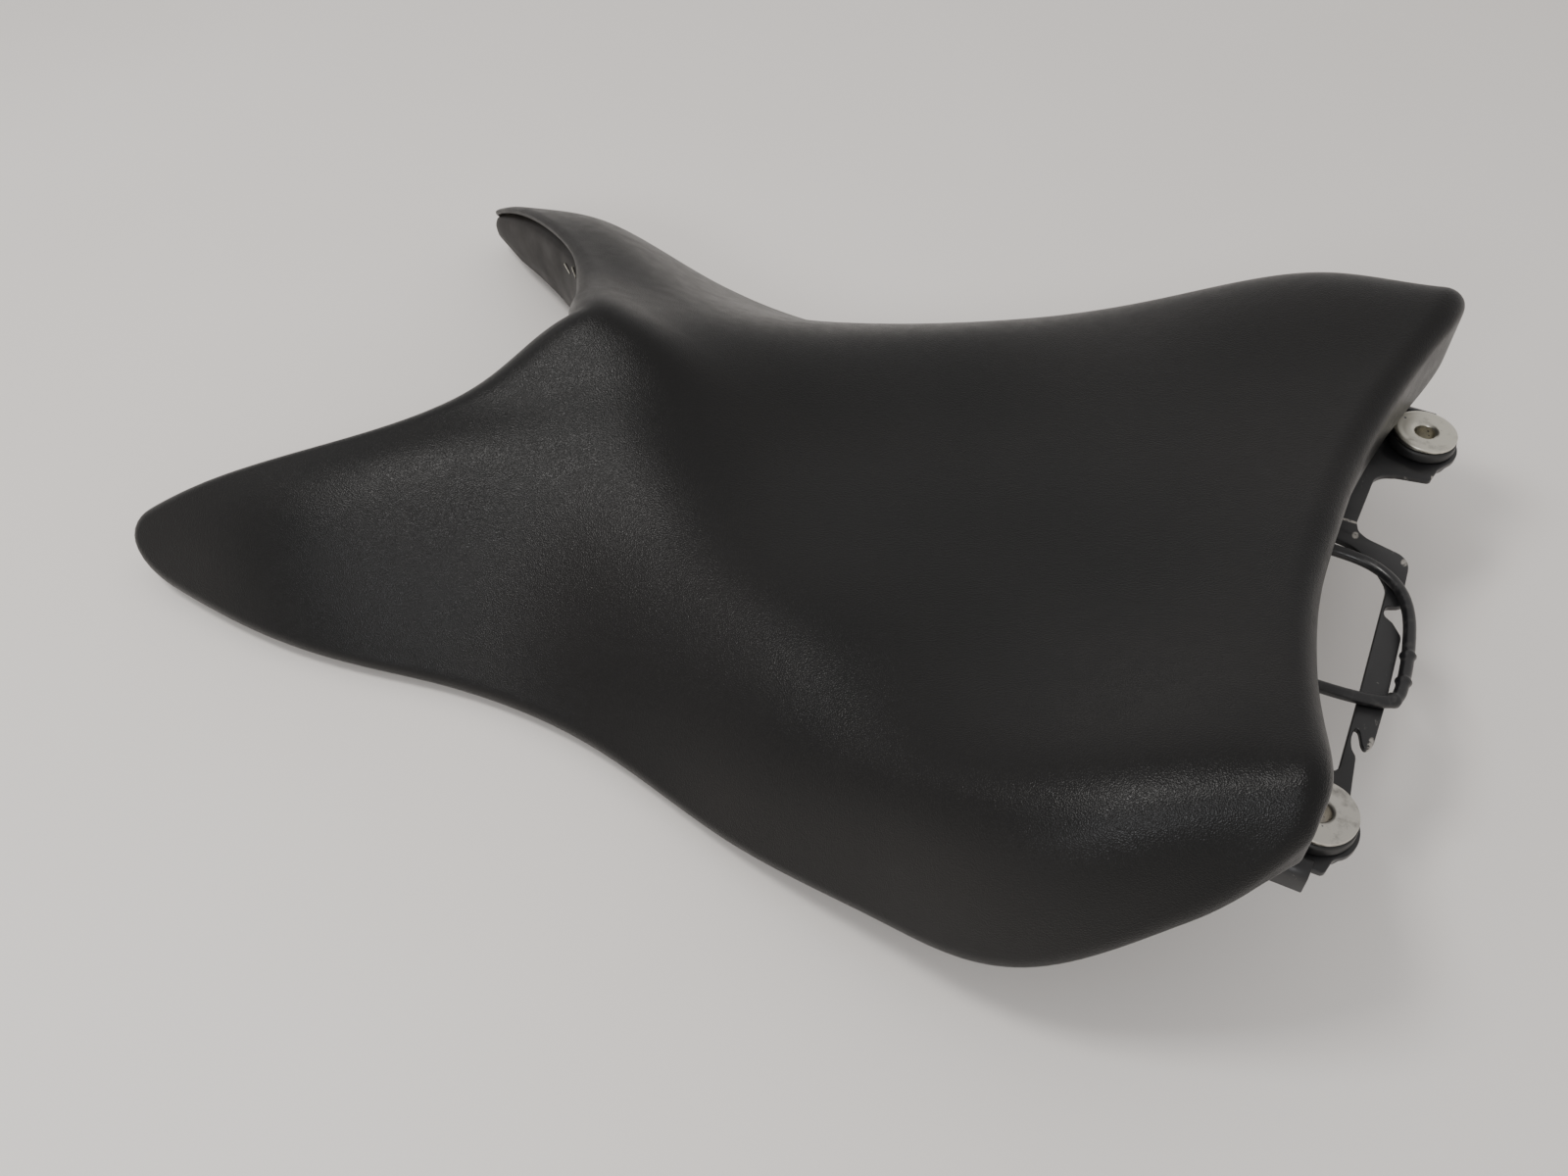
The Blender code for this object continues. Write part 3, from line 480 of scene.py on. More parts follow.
class Patch:
    """The smooth surface through the control points, at any place u (rear to front), v (right to left)."""

    def __init__(self):
        half = np.array(COVER_NET, float)
        self.net = np.concatenate([half[:, :0:-1] * [1, -1, 1], half], axis=1)
        self.row_knots = chord_knots(self.net, 0)
        self.column_knots = chord_knots(self.net, 1)

    def points(self, u, v):
        rows = natural_spline(self.row_knots, np.eye(len(self.row_knots)), np.clip(u, 0, 1).ravel())
        columns = natural_spline(self.column_knots, np.eye(len(self.column_knots)), np.clip(v, 0, 1).ravel())
        return np.einsum("ni,nj,ijk->nk", rows, columns, self.net).reshape(*u.shape, 3)

    def normals(self, u, v):
        step = 0.0005
        lengthways = self.points(u + step, v) - self.points(u - step, v)
        across = self.points(u, v + step) - self.points(u, v - step)
        return unit(np.cross(lengthways, across))


def round_corner(depth, side, reach):
    """Pulls places near one pair of corners in, so that the border runs round them in an arc."""
    p = np.clip((side - 1 + reach[1]) / reach[1], 0, 1)
    q = np.clip((depth - 1 + reach[0]) / reach[0], 0, 1)
    side = side + (np.sqrt(1 - q**2 / 2) - 1) * p * reach[1]
    depth = depth + (np.sqrt(1 - p**2 / 2) - 1) * q * reach[0]
    return depth, side


def surface_places():
    """The grid's places u, v, with rounded wing tips and rear corners."""
    u, v = np.meshgrid(np.linspace(0, 1, ROWS), np.linspace(0, 1, COLUMNS), indexing="ij")
    sign = np.sign(2 * v - 1)
    side = np.abs(2 * v - 1)
    u, side = round_corner(u, side, TIP_ROUNDING)
    back, side = round_corner(1 - u, side, REAR_ROUNDING)
    return 1 - back, (sign * side + 1) / 2


def border_index(rows, columns):
    """Row and column of each point on the grid's border, once round from the rear right corner."""
    rear = [(0, j) for j in range(columns)]
    left = [(i, columns - 1) for i in range(1, rows)]
    front = [(rows - 1, j) for j in range(columns - 2, -1, -1)]
    right = [(i, 0) for i in range(rows - 2, 0, -1)]
    return np.array(rear + left + front + right)


def smooth_round(values, times):
    """Values round a closed border, each averaged with its neighbours."""
    for _ in range(times):
        values = (np.roll(values, 1, axis=0) + 2 * values + np.roll(values, -1, axis=0)) / 4
    return values


def smooth_step(value, low, high):
    share = np.clip((value - low) / (high - low), 0, 1)
    return share * share * (3 - 2 * share)


def notch_foot(across):
    """How far down the base's wall at the tank notch reaches, by the place across the seat."""
    wing = np.clip((across - NOTCH_FOOT_START) * NOTCH_FOOT_STEEPNESS, 0, 1) ** 0.7
    return BASE_NOTCH_Z + (BASE_WING_Z - BASE_NOTCH_Z) * wing


class Edge:
    """The border of the padded top: its points, the way out and the way down over the rolled edge."""

    def __init__(self, grid, normals):
        rows, columns, _ = grid.shape
        self.index = border_index(rows, columns)
        self.at_rear = self.index[:, 0] == 0
        self.at_front = self.index[:, 0] == rows - 1
        self.across = np.abs(2 * self.index[:, 1] / (columns - 1) - 1)
        row, column = self.index.T
        self.points = grid[row, column]
        self.normal = normals[row, column]
        along = unit(smooth_round(np.roll(self.points, -1, 0) - np.roll(self.points, 1, 0), ALONG_SMOOTHING))
        inside = grid[np.clip(row, 2, rows - 3), np.clip(column, 2, columns - 3)]
        self.onward = self.outward_side(unit(np.cross(along, self.normal)), self.points - inside)
        level = self.outward_side(unit(np.cross(along, [0, 0, 1])), self.onward + self.normal)
        self.outward = unit(smooth_round(level, OUTWARD_SMOOTHING))

    def corner_nearness(self):
        """1 at the four corners of the border, down to 0 at CORNER_REACH from them."""
        corners = self.points[(self.at_rear | self.at_front) & (self.across > 0.999)]
        distance = np.linalg.norm(self.points[:, None] - corners[None], axis=2).min(axis=1)
        return np.clip(1 - distance / CORNER_REACH, 0, 1)[:, None]

    @staticmethod
    def outward_side(vectors, guide):
        return vectors * np.sign((vectors * guide).sum(axis=1))[:, None]

    def roll(self, steps):
        """Rings from the border round the roll until the surface points straight down."""
        down = np.array([0.0, 0.0, -1.0])
        cosine = self.onward @ down
        turn = np.arccos(np.clip(cosine, -1, 1))[:, None]
        centre_side = unit(down - cosine[:, None] * self.onward)
        ends = self.at_rear | self.at_front
        nose = NOSE_ROLL_RADIUS + (WING_ROLL_RADIUS - NOSE_ROLL_RADIUS) * smooth_step(self.across, 0.1, 0.7)
        radius = np.where(self.at_front, nose, np.where(ends, ROLL_RADIUS, SIDE_ROLL_RADIUS))
        radius = smooth_round(radius, RADIUS_SMOOTHING)[:, None]
        share = smooth_round(1 - (1 - WING_ROLL_SHARE) * self.bare(), SHARE_SMOOTHING)[:, None]
        rings = []
        for step in range(1, steps + 1):
            angle = turn * share * step / steps
            way = np.sin(angle) * self.onward + (1 - np.cos(angle)) * centre_side
            rings.append(self.points + radius * way)
        return rings

    def bare(self):
        """1 along the wings at the tank notch, where the base shows as a bare panel, 0 elsewhere."""
        return smooth_round(smooth_step(self.across, *SEAM_PLACE) * self.at_front, BARE_SMOOTHING)

    def wall_height(self, start):
        """The drop of the short wall under the roll. At the tank notch it covers the base's wall, except on
        the wings, where it ends in a seam against the bare panel."""
        fade = self.across**4
        rear = np.clip(start[:, 2] - REAR_HEM_Z - FOLD_RADIUS, SIDE_WALL, None)
        height = np.full(len(start), SIDE_WALL)
        height = np.where(self.at_rear, rear * (1 - fade) + SIDE_WALL * fade, height)
        height = smooth_round(height, WALL_SMOOTHING)
        full = start[:, 2] - notch_foot(self.across) - FOLD_RADIUS + 1
        bare = self.bare()
        return np.where(self.at_front, full * (1 - bare) + SIDE_WALL * bare, height)

    def wall(self, start):
        drop = self.wall_height(start)[:, None] * [0, 0, 1]
        return [start - drop * share for share in np.linspace(0, 1, WALL_STEPS + 1)[1:]]

    def hem_drop(self):
        """How far the turned-in hem reaches down: less where it ends against a bare panel."""
        return FOLD_RADIUS * (1 - (1 - SEAM_DROP) * self.bare()[:, None])

    def fold(self, start):
        """Rings that turn the edge in under the base. At the tank notch it only turns in a little."""
        turned_in = smooth_round(np.where(self.at_front, NOTCH_TURN, 1.0), TURN_SMOOTHING)[:, None]
        drop = self.hem_drop()
        lip = FOLD_LIP * (1 - CORNER_LIP_LOSS * self.corner_nearness()) * turned_in**2
        rings = []
        for angle in np.linspace(0, math.pi / 2, FOLD_STEPS + 1)[1:]:
            inward = FOLD_RADIUS * (1 - math.cos(angle)) * turned_in
            rings.append(start - inward * self.outward - drop * math.sin(angle) * np.array([0, 0, 1]))
        rings.append(rings[-1] - lip * self.outward)
        return rings


def coons(border_values, index, rows, columns):
    """Values on a grid that match those round its border and fade quickly inwards."""
    edge = np.zeros((rows, columns, 3))
    edge[index[:, 0], index[:, 1]] = border_values
    u = np.linspace(0, 1, rows)[:, None, None]
    v = np.linspace(0, 1, columns)[None, :, None]
    near_u, far_u, near_v, far_v = (1 - u) ** 4, u**4, (1 - v) ** 4, v**4
    sides = near_u * edge[:1] + far_u * edge[-1:] + near_v * edge[:, :1] + far_v * edge[:, -1:]
    corners = near_u * (near_v * edge[0, 0] + far_v * edge[0, -1])
    corners = corners + far_u * (near_v * edge[-1, 0] + far_v * edge[-1, -1])
    return sides - corners


def grid_faces(rows, columns, start=0, flip=False):
    corner = start + (np.arange(rows - 1)[:, None] * columns + np.arange(columns - 1)[None]).ravel()
    faces = np.stack([corner, corner + columns, corner + columns + 1, corner + 1], axis=1)
    return (faces[:, ::-1] if flip else faces).tolist()


def ring_faces(upper, lower):
    """Faces between two rings of vertex numbers."""
    after = np.roll(upper, -1), np.roll(lower, -1)
    return np.stack([upper, after[0], after[1], lower], axis=1).tolist()


class Skin:
    """A grid with rings hung from its border: vertices and faces of one open sheet."""

    def __init__(self, grid, index, rings):
        rows, columns, _ = grid.shape
        self.points = np.vstack([grid.reshape(-1, 3)] + list(rings))
        self.faces = grid_faces(rows, columns)
        last = index[:, 0] * columns + index[:, 1]
        for number in range(len(rings)):
            ring = rows * columns + number * len(index) + np.arange(len(index))
            self.faces += ring_faces(last, ring)
            last = ring
        self.last = last

    def normals(self):
        """The mean normal of the faces at each vertex."""
        faces = np.array(self.faces)
        a, b, c, d = (self.points[faces[:, k]] for k in range(4))
        normal = np.cross(c - a, d - b)
        total = np.zeros_like(self.points)
        for k in range(4):
            np.add.at(total, faces[:, k], normal)
        return unit(total)


def smooth(mesh, angle):
    mesh.shade_smooth()
    mesh.set_sharp_from_angle(angle=math.radians(angle))


def round_edges(thing, width, segments=3):
    rounding = thing.modifiers.new("edges", "BEVEL")
    rounding.width = width * MM
    rounding.segments = segments
    return rounding


def add_mesh(name, points, faces, finish, smooth_angle=40):
    """A mesh object from points in millimetres from the datum. A closed one is turned to face outwards."""
    mesh = bpy.data.meshes.new(name)
    metres = np.asarray(points, float) * MM + np.array(DATUM)
    mesh.from_pydata(metres.tolist(), [], faces)
    work = bmesh.new()
    work.from_mesh(mesh)
    if all(edge.is_manifold for edge in work.edges) and work.calc_volume(signed=True) < 0:
        bmesh.ops.reverse_faces(work, faces=work.faces)
    work.to_mesh(mesh)
    work.free()
    smooth(mesh, smooth_angle)
    mesh.materials.append(finish)
    return add_object(name, mesh)


def solidify(thing, thickness):
    """Thickens an open sheet inwards."""
    shell = thing.modifiers.new("thickness", "SOLIDIFY")
    shell.thickness = thickness * MM
    shell.offset = -1
    shell.use_even_offset = False


def soften(points, reach, steps=4, closed=True):
    """An outline with each corner drawn as a short curve that starts at most reach from it. An open one
    keeps its two ends."""
    result = []
    for k, here in enumerate(points):
        here = np.array(here, float)
        if not closed and k in (0, len(points) - 1):
            result.append(here)
            continue
        ends = []
        for other in (points[k - 1], points[(k + 1) % len(points)]):
            way = np.array(other, float) - here
            length = np.linalg.norm(way)
            ends.append(here + way / length * min(reach, 0.45 * length))
        for t in np.linspace(0, 1, steps + 1):
            result.append((1 - t) ** 2 * ends[0] + 2 * t * (1 - t) * here + t**2 * ends[1])
    return result


def arc(centre, radius, start, end, steps):
    """Points of an arc, angles in degrees."""
    angles = np.radians(np.linspace(start, end, steps + 1))
    return [(centre[0] + radius * math.cos(a), centre[1] + radius * math.sin(a)) for a in angles]


def circle(centre, radius, sides=48):
    return arc(centre, radius, 0, 360 - 360 / sides, sides - 1)


def turned(name, profile, centre, finish, sides=72, ring=False):
    """A turned piece. The profile holds (radius, height) from bottom to top, or once round for a ring."""
    points = [(x, y, height) for radius, height in profile for x, y in circle(centre, radius, sides)]
    rings = [np.arange(i * sides, (i + 1) * sides) for i in range(len(profile))]
    faces = []
    for lower, upper in zip(rings, rings[1:]):
        faces += ring_faces(lower, upper)
    if ring:
        faces += ring_faces(rings[-1], rings[0])
    else:
        faces += [rings[0][::-1].tolist(), rings[-1].tolist()]
    return add_mesh(name, points, faces, finish, smooth_angle=HARD_EDGE)


def plate(name, outline, holes, bottom, top, edge, finish):
    """A flat plate with softly rounded edges, drawn as a filled 2D curve."""
    curve = bpy.data.curves.new(name, "CURVE")
    curve.dimensions = "2D"
    curve.fill_mode = "BOTH"
    curve.extrude = ((top - bottom) / 2 - edge) * MM
    curve.bevel_depth = edge * MM
    curve.bevel_resolution = 2
    curve.offset = -edge * MM
    for path in [outline, *holes]:
        spline = curve.splines.new("POLY")
        spline.points.add(len(path) - 1)
        for point, (x, y) in zip(spline.points, path):
            point.co = (x * MM, y * MM, 0, 1)
        spline.use_cyclic_u = True
    drawing = add_object(name + "_drawing", curve)
    mesh = bpy.data.meshes.new_from_object(drawing)
    bpy.data.objects.remove(drawing, do_unlink=True)
    bpy.data.curves.remove(curve)
    mesh.transform(Matrix.Translation(place((0, 0, (top + bottom) / 2))))
    work = bmesh.new()
    work.from_mesh(mesh)
    bmesh.ops.remove_doubles(work, verts=work.verts, dist=1e-6)
    work.to_mesh(mesh)
    work.free()
    smooth(mesh, HARD_EDGE)
    mesh.materials.clear()
    mesh.materials.append(finish)
    mesh.name = name
    return add_object(name, mesh)


def join(name, pieces):
    """One object out of several, each left as it is."""
    work = bmesh.new()
    graph = bpy.context.evaluated_depsgraph_get()
    for piece in pieces:
        mesh = bpy.data.meshes.new_from_object(piece.evaluated_get(graph))
        work.from_mesh(mesh)
        bpy.data.meshes.remove(mesh)
    mesh = bpy.data.meshes.new(name)
    work.to_mesh(mesh)
    work.free()
    mesh.materials.append(pieces[0].data.materials[0])
    for piece in pieces:
        bpy.data.objects.remove(piece, do_unlink=True)
    smooth(mesh, HARD_EDGE)
    return add_object(name, mesh)


def settle(piece, body, slot, *nodes):
    """Sets the body that a piece rides on and the CAD nodes that it stands for, which it hides. The slot
    argument is not used.
    """
    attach(piece, body)
    if nodes:
        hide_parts(*nodes)
    return piece


def base_rim(edge):
    """The ring where the base's own rim stands, just inside the foot of the cover's short wall."""
    roll = edge.roll(2)
    wall = np.where(edge.at_front, SIDE_WALL, edge.wall_height(roll[-1]))[:, None]
    bare = edge.bare()[:, None]
    above_hem = (COVER_THICKNESS + 3 * GAP) * (1 - bare) + GAP * bare
    foot = roll[-1] - (smooth_round(wall, FOOT_SMOOTHING) + edge.hem_drop() - above_hem) * [0, 0, 1]
    room = CORNER_ROOM * edge.corner_nearness() * (1 - bare)
    behind_hem = GAP + PANEL_INSET * (1 - edge.corner_nearness())
    inset = COVER_THICKNESS + 4 * GAP * (1 - bare) + behind_hem * bare
    return foot - (inset + room) * edge.outward + room * [0, 0, 1]


def rim_height(edge):
    """How high the base's rim stands inside the cover's wall: most behind, where that wall is tall."""
    fade = (1 - edge.across**4) * edge.at_rear
    height = smooth_round(BASE_SIDE_RIM + (BASE_REAR_RIM - BASE_SIDE_RIM) * fade, RIM_SMOOTHING)
    return (height * (1 - edge.bare()))[:, None] * [0, 0, 1]


def base_top(grid, normals, edge):
    """The top of the base: the cover's shape sunk by the foam's depth, with its border on the rim."""
    rows, columns, _ = grid.shape
    u = np.linspace(0, 1, rows)[:, None]
    v = np.linspace(0, 1, columns)[None, :]
    fullness = np.sin(math.pi * u) * (4 * v * (1 - v)) ** 1.5
    depth = FOAM_EDGE_DEPTH + (FOAM_MIDDLE_DEPTH - FOAM_EDGE_DEPTH) * fullness
    sunk = grid - depth[..., None] * normals
    row, column = edge.index.T
    rim = base_rim(edge) + rim_height(edge)
    sheet = sunk + coons(rim - sunk[row, column], edge.index, rows, columns)
    inside = sheet[2:-2, 2:-2]
    aside = np.clip(abs(inside[..., 1]) - PAD_HALF_WIDTH, 0, None)
    beyond = np.clip(inside[..., 0] - PAD_FRONT, 0, None) + 3 * aside
    inside[..., 2] = np.maximum(inside[..., 2], PAD_TOP - beyond)
    return sheet


def make_cover(grid, edge, finish):
    """The vinyl cover: a thin skin over the top, rolled round the edge and folded in under the base."""
    roll = edge.roll(ROLL_STEPS)
    wall = edge.wall(roll[-1])
    skin = Skin(grid, edge.index, [*roll, *wall, *edge.fold(wall[-1])])
    cover = add_mesh("cover", skin.points, skin.faces, finish, smooth_angle=75)
    solidify(cover, COVER_THICKNESS)
    return settle(cover, "root", "vinyl", "seat_cover"), skin


def make_foam(grid, edge, top_of_base, finish):
    """The moulded foam: it fills the room between the cover and the base."""
    rows, columns, _ = grid.shape
    roll = edge.roll(4)
    skin = Skin(grid, edge.index, roll)
    inset = skin.points - (COVER_THICKNESS + GAP) * skin.normals()
    top = inset[: rows * columns].reshape(grid.shape)
    rings = inset[rows * columns :].reshape(4, -1, 3)[:3]
    outside = Skin(top, edge.index, rings)
    first = len(outside.points)
    lift = top_of_base + [0, 0, 2 * GAP]
    points = np.vstack([outside.points, lift.reshape(-1, 3)])
    below = first + edge.index[:, 0] * columns + edge.index[:, 1]
    faces = outside.faces + ring_faces(outside.last, below)
    faces += grid_faces(rows, columns, start=first, flip=True)
    foam = add_mesh("foam", points, faces, finish, smooth_angle=70)
    return settle(foam, "root", "foam", "foam_core")


def make_base(edge, top_of_base, finish):
    """The moulded base: a tray under the foam, whose wall shows as a bare panel inside each wing."""
    rim = base_rim(edge)
    foot_z = np.where(edge.at_front, np.minimum(notch_foot(edge.across), rim[:, 2]), rim[:, 2])
    start = top_of_base[edge.index[:, 0], edge.index[:, 1]]
    rings = []
    for share in PANEL_SHARES:
        ring = np.column_stack([rim[:, :2], start[:, 2] + (foot_z - start[:, 2]) * share])
        lean = PANEL_BULGE * math.sin(math.pi * share) + PANEL_LEAN * share
        bulge = lean + PANEL_LIFT * smooth_step(share, *PANEL_LIFT_REACH) * (1 - edge.corner_nearness())
        rings.append(ring + bulge * edge.bare()[:, None] * edge.outward)
    skin = Skin(top_of_base, edge.index, rings)
    base = add_mesh("base", skin.points, skin.faces, finish, smooth_angle=60)
    solidify(base, BASE_THICKNESS)
    settle(base, "root", "base_plastic", "seat_base")
    return dict(zip(PANEL_SHARES, rings))


def make_bosses(top_of_base, finish):
    """The bosses over the bracket and the hook, and the ribbed posts that the bumpers sit on."""
    pieces = []
    sheet = top_of_base[2:-2, 2:-2].reshape(-1, 3)

    def top_at(centre):
        """The height of the middle of the base's sheet over a place, from its nearest point."""
        nearest = np.argmin(np.linalg.norm(sheet[:, :2] - centre, axis=1))
        return sheet[nearest, 2] - BASE_THICKNESS / 2

    for name, centre in BOLT_PLACES.items():
        top = top_at(centre)
        profile = [(BOLT_HOLE_RADIUS, PLATE_TOP + 6), (BOLT_HOLE_RADIUS, PLATE_TOP + GAP)]
        profile += [(BOSS_RADIUS - 0.6, PLATE_TOP + GAP), (BOSS_RADIUS, PLATE_TOP + GAP + 0.6)]
        profile += [(BOSS_RADIUS + 0.3, top - 2), (BOSS_RADIUS + 2, top)]
        pieces.append(turned(f"boss_{name}", profile, centre, finish, sides=48))
    for side, centre in RIVET_PLACES.items():
        top = top_at(centre)
        profile = [(RIVET_HOLE_RADIUS, HOOK_Z + 7), (RIVET_HOLE_RADIUS, HOOK_Z + GAP)]
        profile += [(5.4, HOOK_Z + GAP), (6, HOOK_Z + GAP + 0.6), (6.2, top - 2), (8, top)]
        pieces.append(turned(f"hook_boss_{side}", profile, centre, finish, sides=48))
    foot = FLOOR_Z + BUMPER_HEIGHT + GAP
    for place_name, (x, y) in BUMPER_PLACES.items():
        for side, sign in SIDES.items():
            centre = (x, sign * y)
            top = top_at(centre)
            profile = [(POST_RADIUS - 1, foot), (POST_RADIUS, foot + 1), (POST_RADIUS + 0.5, top - 5)]
            profile += [(POST_RADIUS + 1.5, top - 2), (POST_RADIUS + 4, top)]
            pieces.append(turned(f"post_{place_name}_{side}", profile, centre, finish, sides=48))
            for k in range(POST_RIBS):
                pieces.append(make_rib(top_at, centre, 45 + 360 * k / POST_RIBS, foot, finish))
    settle(join("base_bosses", pieces), "root", "base_plastic")


def make_rib(top_at, centre, angle, foot, finish):
    """A thin triangular web between a post and the base."""
    way = np.array([math.cos(math.radians(angle)), math.sin(math.radians(angle))])
    aside = np.array([-way[1], way[0]]) * 0.9
    near = np.array(centre) + way * (POST_RADIUS - 1)
    far = np.array(centre) + way * (POST_RADIUS + 12)
    corners = []
    for shift in (-aside, aside):
        for spot, height in ((near, foot + 6), (near, top_at(near)), (far, top_at(far))):
            corners.append((*(spot + shift), height))
    faces = [(0, 1, 2), (5, 4, 3), (0, 3, 4, 1), (1, 4, 5, 2), (2, 5, 3, 0)]
    return add_mesh(f"rib_{angle:.0f}", corners, faces, finish)


def bracket_outline():
    """The stamped plate seen from above, from the right mount's outer end round the rear to the left."""
    right_end = [(PLATE_FRONT, -114), (42, -PLATE_END), (-7, -PLATE_END), (-8, -114)]
    right_mount = arc((0, -MOUNT_Y), PLATE_MOUNT_RADIUS, 224, 158, 8)
    right_shoulder = [(-9, -88), (-7.5, -80), (5, -77.5)]
    neck = [*arc((4, -68), 9, 285, 345, 6), (13.5, -53), (14, -43), (12.5, -38.5), (9, -36)]
    corner = [(-4, -33), (-7, -30.5), (-8, -27), (-8.5, -12), (-11, -9)]
    upper_hook = [(-8.5, -6), (-7, -5), (-3.8, -3.6), (-3.8, 1), (-6.8, 3), (-7.6, 3.6), (-11.5, 9)]
    lower_hook = [(-12, 40), (-11.5, 62), (-9.6, 64.8), (-8, 63.5), (-6, 57.5), (-4.6, 57), (-4.2, 62)]
    bar_end = [(-5.2, 66.5), (-7.2, 69), (-8.5, 84)]
    left_mount = arc((0, MOUNT_Y), PLATE_MOUNT_RADIUS, 230, 146, 10)
    left_end = [(-8.5, 112), (-7, PLATE_END), (42, PLATE_END), (PLATE_FRONT, 114)]
    right_half = right_end + right_mount + right_shoulder + neck + corner + upper_hook
    return right_half + lower_hook + bar_end + left_mount + left_end


def window_outline():
    """The opening between the bar and the plate's front strip."""
    upper = [(30, -31), (22, -31), (13.5, -29.5), (4, -23.5), (-2.5, -14)]
    return [*upper, (-3, 40), (-3, 78.5), (30, 78.5)]


def make_bracket(finish):
    """The stamped plate with softly rounded edges, whose two ends bend down."""
    holes = [soften(window_outline(), 3.5)]
    holes += [circle((0, side * MOUNT_Y), PLATE_HOLE_RADIUS) for side in SIDES.values()]
    holes += [circle(spot, BOLT_HOLE_RADIUS, 32) for spot in BOLT_PLACES.values()]
    holes += [circle((ANCHOR_SCREW_X, y), 2.4, 24) for y in ANCHOR_PLACES.values()]
    bottom = PLATE_TOP - PLATE_THICKNESS
    outline = soften(bracket_outline(), 1.6)
    pieces = [plate("bracket_plate", outline, holes, bottom, PLATE_TOP, PLATE_EDGE, finish)]
    for side, sign in SIDES.items():
        pieces.append(make_end(side, sign, finish))
    settle(join("bracket", pieces), "root", "painted_steel", "rear_bracket")


def make_end(side, sign, finish):
    """The bent-down end of the plate: a sheet round a quarter turn and straight down."""
    bend = arc((PLATE_END - 0.3, PLATE_TOP - END_BEND), END_BEND, 90, 0, 8)
    path = [(PLATE_END - 1.5, PLATE_TOP), *bend, (PLATE_END - 0.3 + END_BEND, PLATE_TOP - END_DROP)]
    lengthways = np.linspace(*END_REACH, 10)
    points = [(x, sign * y, z) for x in lengthways for y, z in path]
    faces = grid_faces(len(lengthways), len(path), flip=sign > 0)
    end = add_mesh(f"bracket_end_{side}", points, faces, finish, smooth_angle=60)
    solidify(end, PLATE_THICKNESS - 0.1)
    round_edges(end, PLATE_EDGE, segments=2).limit_method = "ANGLE"
    return end


def make_mount(side, y, steel, rubber):
    """A rubber bush and the flanged collar that turns in it, with the small radii that pressing leaves."""
    bush_inner = COLLAR_RADIUS + GAP
    groove = PLATE_HOLE_RADIUS - GAP
    top = -COLLAR_FLANGE - GAP
    plate_bottom = PLATE_TOP - PLATE_THICKNESS - GAP
    bottom = plate_bottom - GROMMET_LOWER_FLANGE
    lower = [(bush_inner, bottom), (GROMMET_RADIUS - 0.6, bottom), (GROMMET_RADIUS, plate_bottom)]
    waist = [(groove, plate_bottom), (groove, PLATE_TOP + GAP)]
    upper = [(GROMMET_RADIUS, PLATE_TOP + GAP), (GROMMET_RADIUS - 0.3, top), (bush_inner, top)]
    bush = turned(f"bush_{side}", soften(lower + waist + upper, GROMMET_EDGE), (0, y), rubber, ring=True)
    settle(bush, "root", "rubber", f"grommet_{side}")
    foot = bottom - 1
    tube = [(COLLAR_BORE_RADIUS, foot), (COLLAR_RADIUS, foot), (COLLAR_RADIUS, -COLLAR_FLANGE)]
    edge = COLLAR_FLANGE_RADIUS
    flange = [(edge, -COLLAR_FLANGE), (edge, -0.25), (edge - 1.4, 0)]
    dish = [(edge - 3.5, -0.18), (COLLAR_BORE_RADIUS + 1.3, -0.25), (COLLAR_BORE_RADIUS, -0.9)]
    profile = soften(tube + flange + dish, 0.5)
    collar = turned(f"bushing_{side}", profile, (0, y), steel, sides=96, ring=True)
    settle(collar, f"collar_{side}", "zinc_plated_steel", f"collar_{side}")


def make_bolt(name, centre, radius, depth, finish):
    """A flanged hexagon bolt from below: washer face, chamfered head and shank."""
    top = PLATE_TOP - PLATE_THICKNESS - GAP
    flange = [(radius * 2.0, top - 0.5), (radius * 2.2, top - 0.3), (radius * 2.2, top)]
    shank = [(radius, top), (radius, top + depth - 0.6), (radius - 0.5, top + depth)]
    crown = radius * 1.7
    stem = turned(name + "_stem", [(radius, top - 1.6), *flange, *shank], centre, finish, sides=48)
    corner = radius * 1.95
    head = turned(name + "_head", [(corner, top - crown), (corner, top - 0.4)], centre, finish, sides=6)
    round_edges(head, 0.35)
    return join(name + "_fine", [stem, head])


def make_bumper(side, centre, finish):
    """A rubber bumper with a rounded foot and a shallow groove round it."""
    top = FLOOR_Z + BUMPER_HEIGHT
    middle = FLOOR_Z + 0.55 * BUMPER_HEIGHT
    groove = [(BUMPER_RADIUS, middle - 1.4), (BUMPER_RADIUS - 0.9, middle), (BUMPER_RADIUS, middle + 1.4)]
    flat = BUMPER_RADIUS / 2
    profile = [(flat, FLOOR_Z), (BUMPER_RADIUS, FLOOR_Z), *groove, (BUMPER_RADIUS, top), (flat, top)]
    return turned(f"foot_{side}", soften(profile, 1.8, closed=False), centre, finish)


def make_hook(finish, rivet_finish):
    """The steel tongue under the nose and its two domed rivets."""
    start, end = HOOK_REACH
    half = HOOK_HALF_WIDTH
    outline = [(start, -half), (start, half), (end - 8, half - 2)]
    outline += [(end, half - 8), (end, 8 - half), (end - 8, 2 - half)]
    holes = [circle(spot, RIVET_HOLE_RADIUS, 32) for spot in RIVET_PLACES.values()]
    hook = plate("hook", soften(outline, 3.0), holes, HOOK_Z - HOOK_THICKNESS, HOOK_Z, 0.5, finish)
    settle(hook, "root", "painted_steel", "front_hook")
    top = HOOK_Z - HOOK_THICKNESS - GAP
    dome = [(4.8 * math.sin(a), top - 1.9 * math.cos(a)) for a in np.radians(np.linspace(3, 90, 9))]
    for side, centre in RIVET_PLACES.items():
        profile = [*dome, (2.4, top), (2.4, HOOK_Z + 7)]
        rivet = turned(f"rivet_{side}", profile, centre, rivet_finish, sides=48)
        settle(rivet, "root", "zinc_plated_steel", f"hook_rivet_{side}")


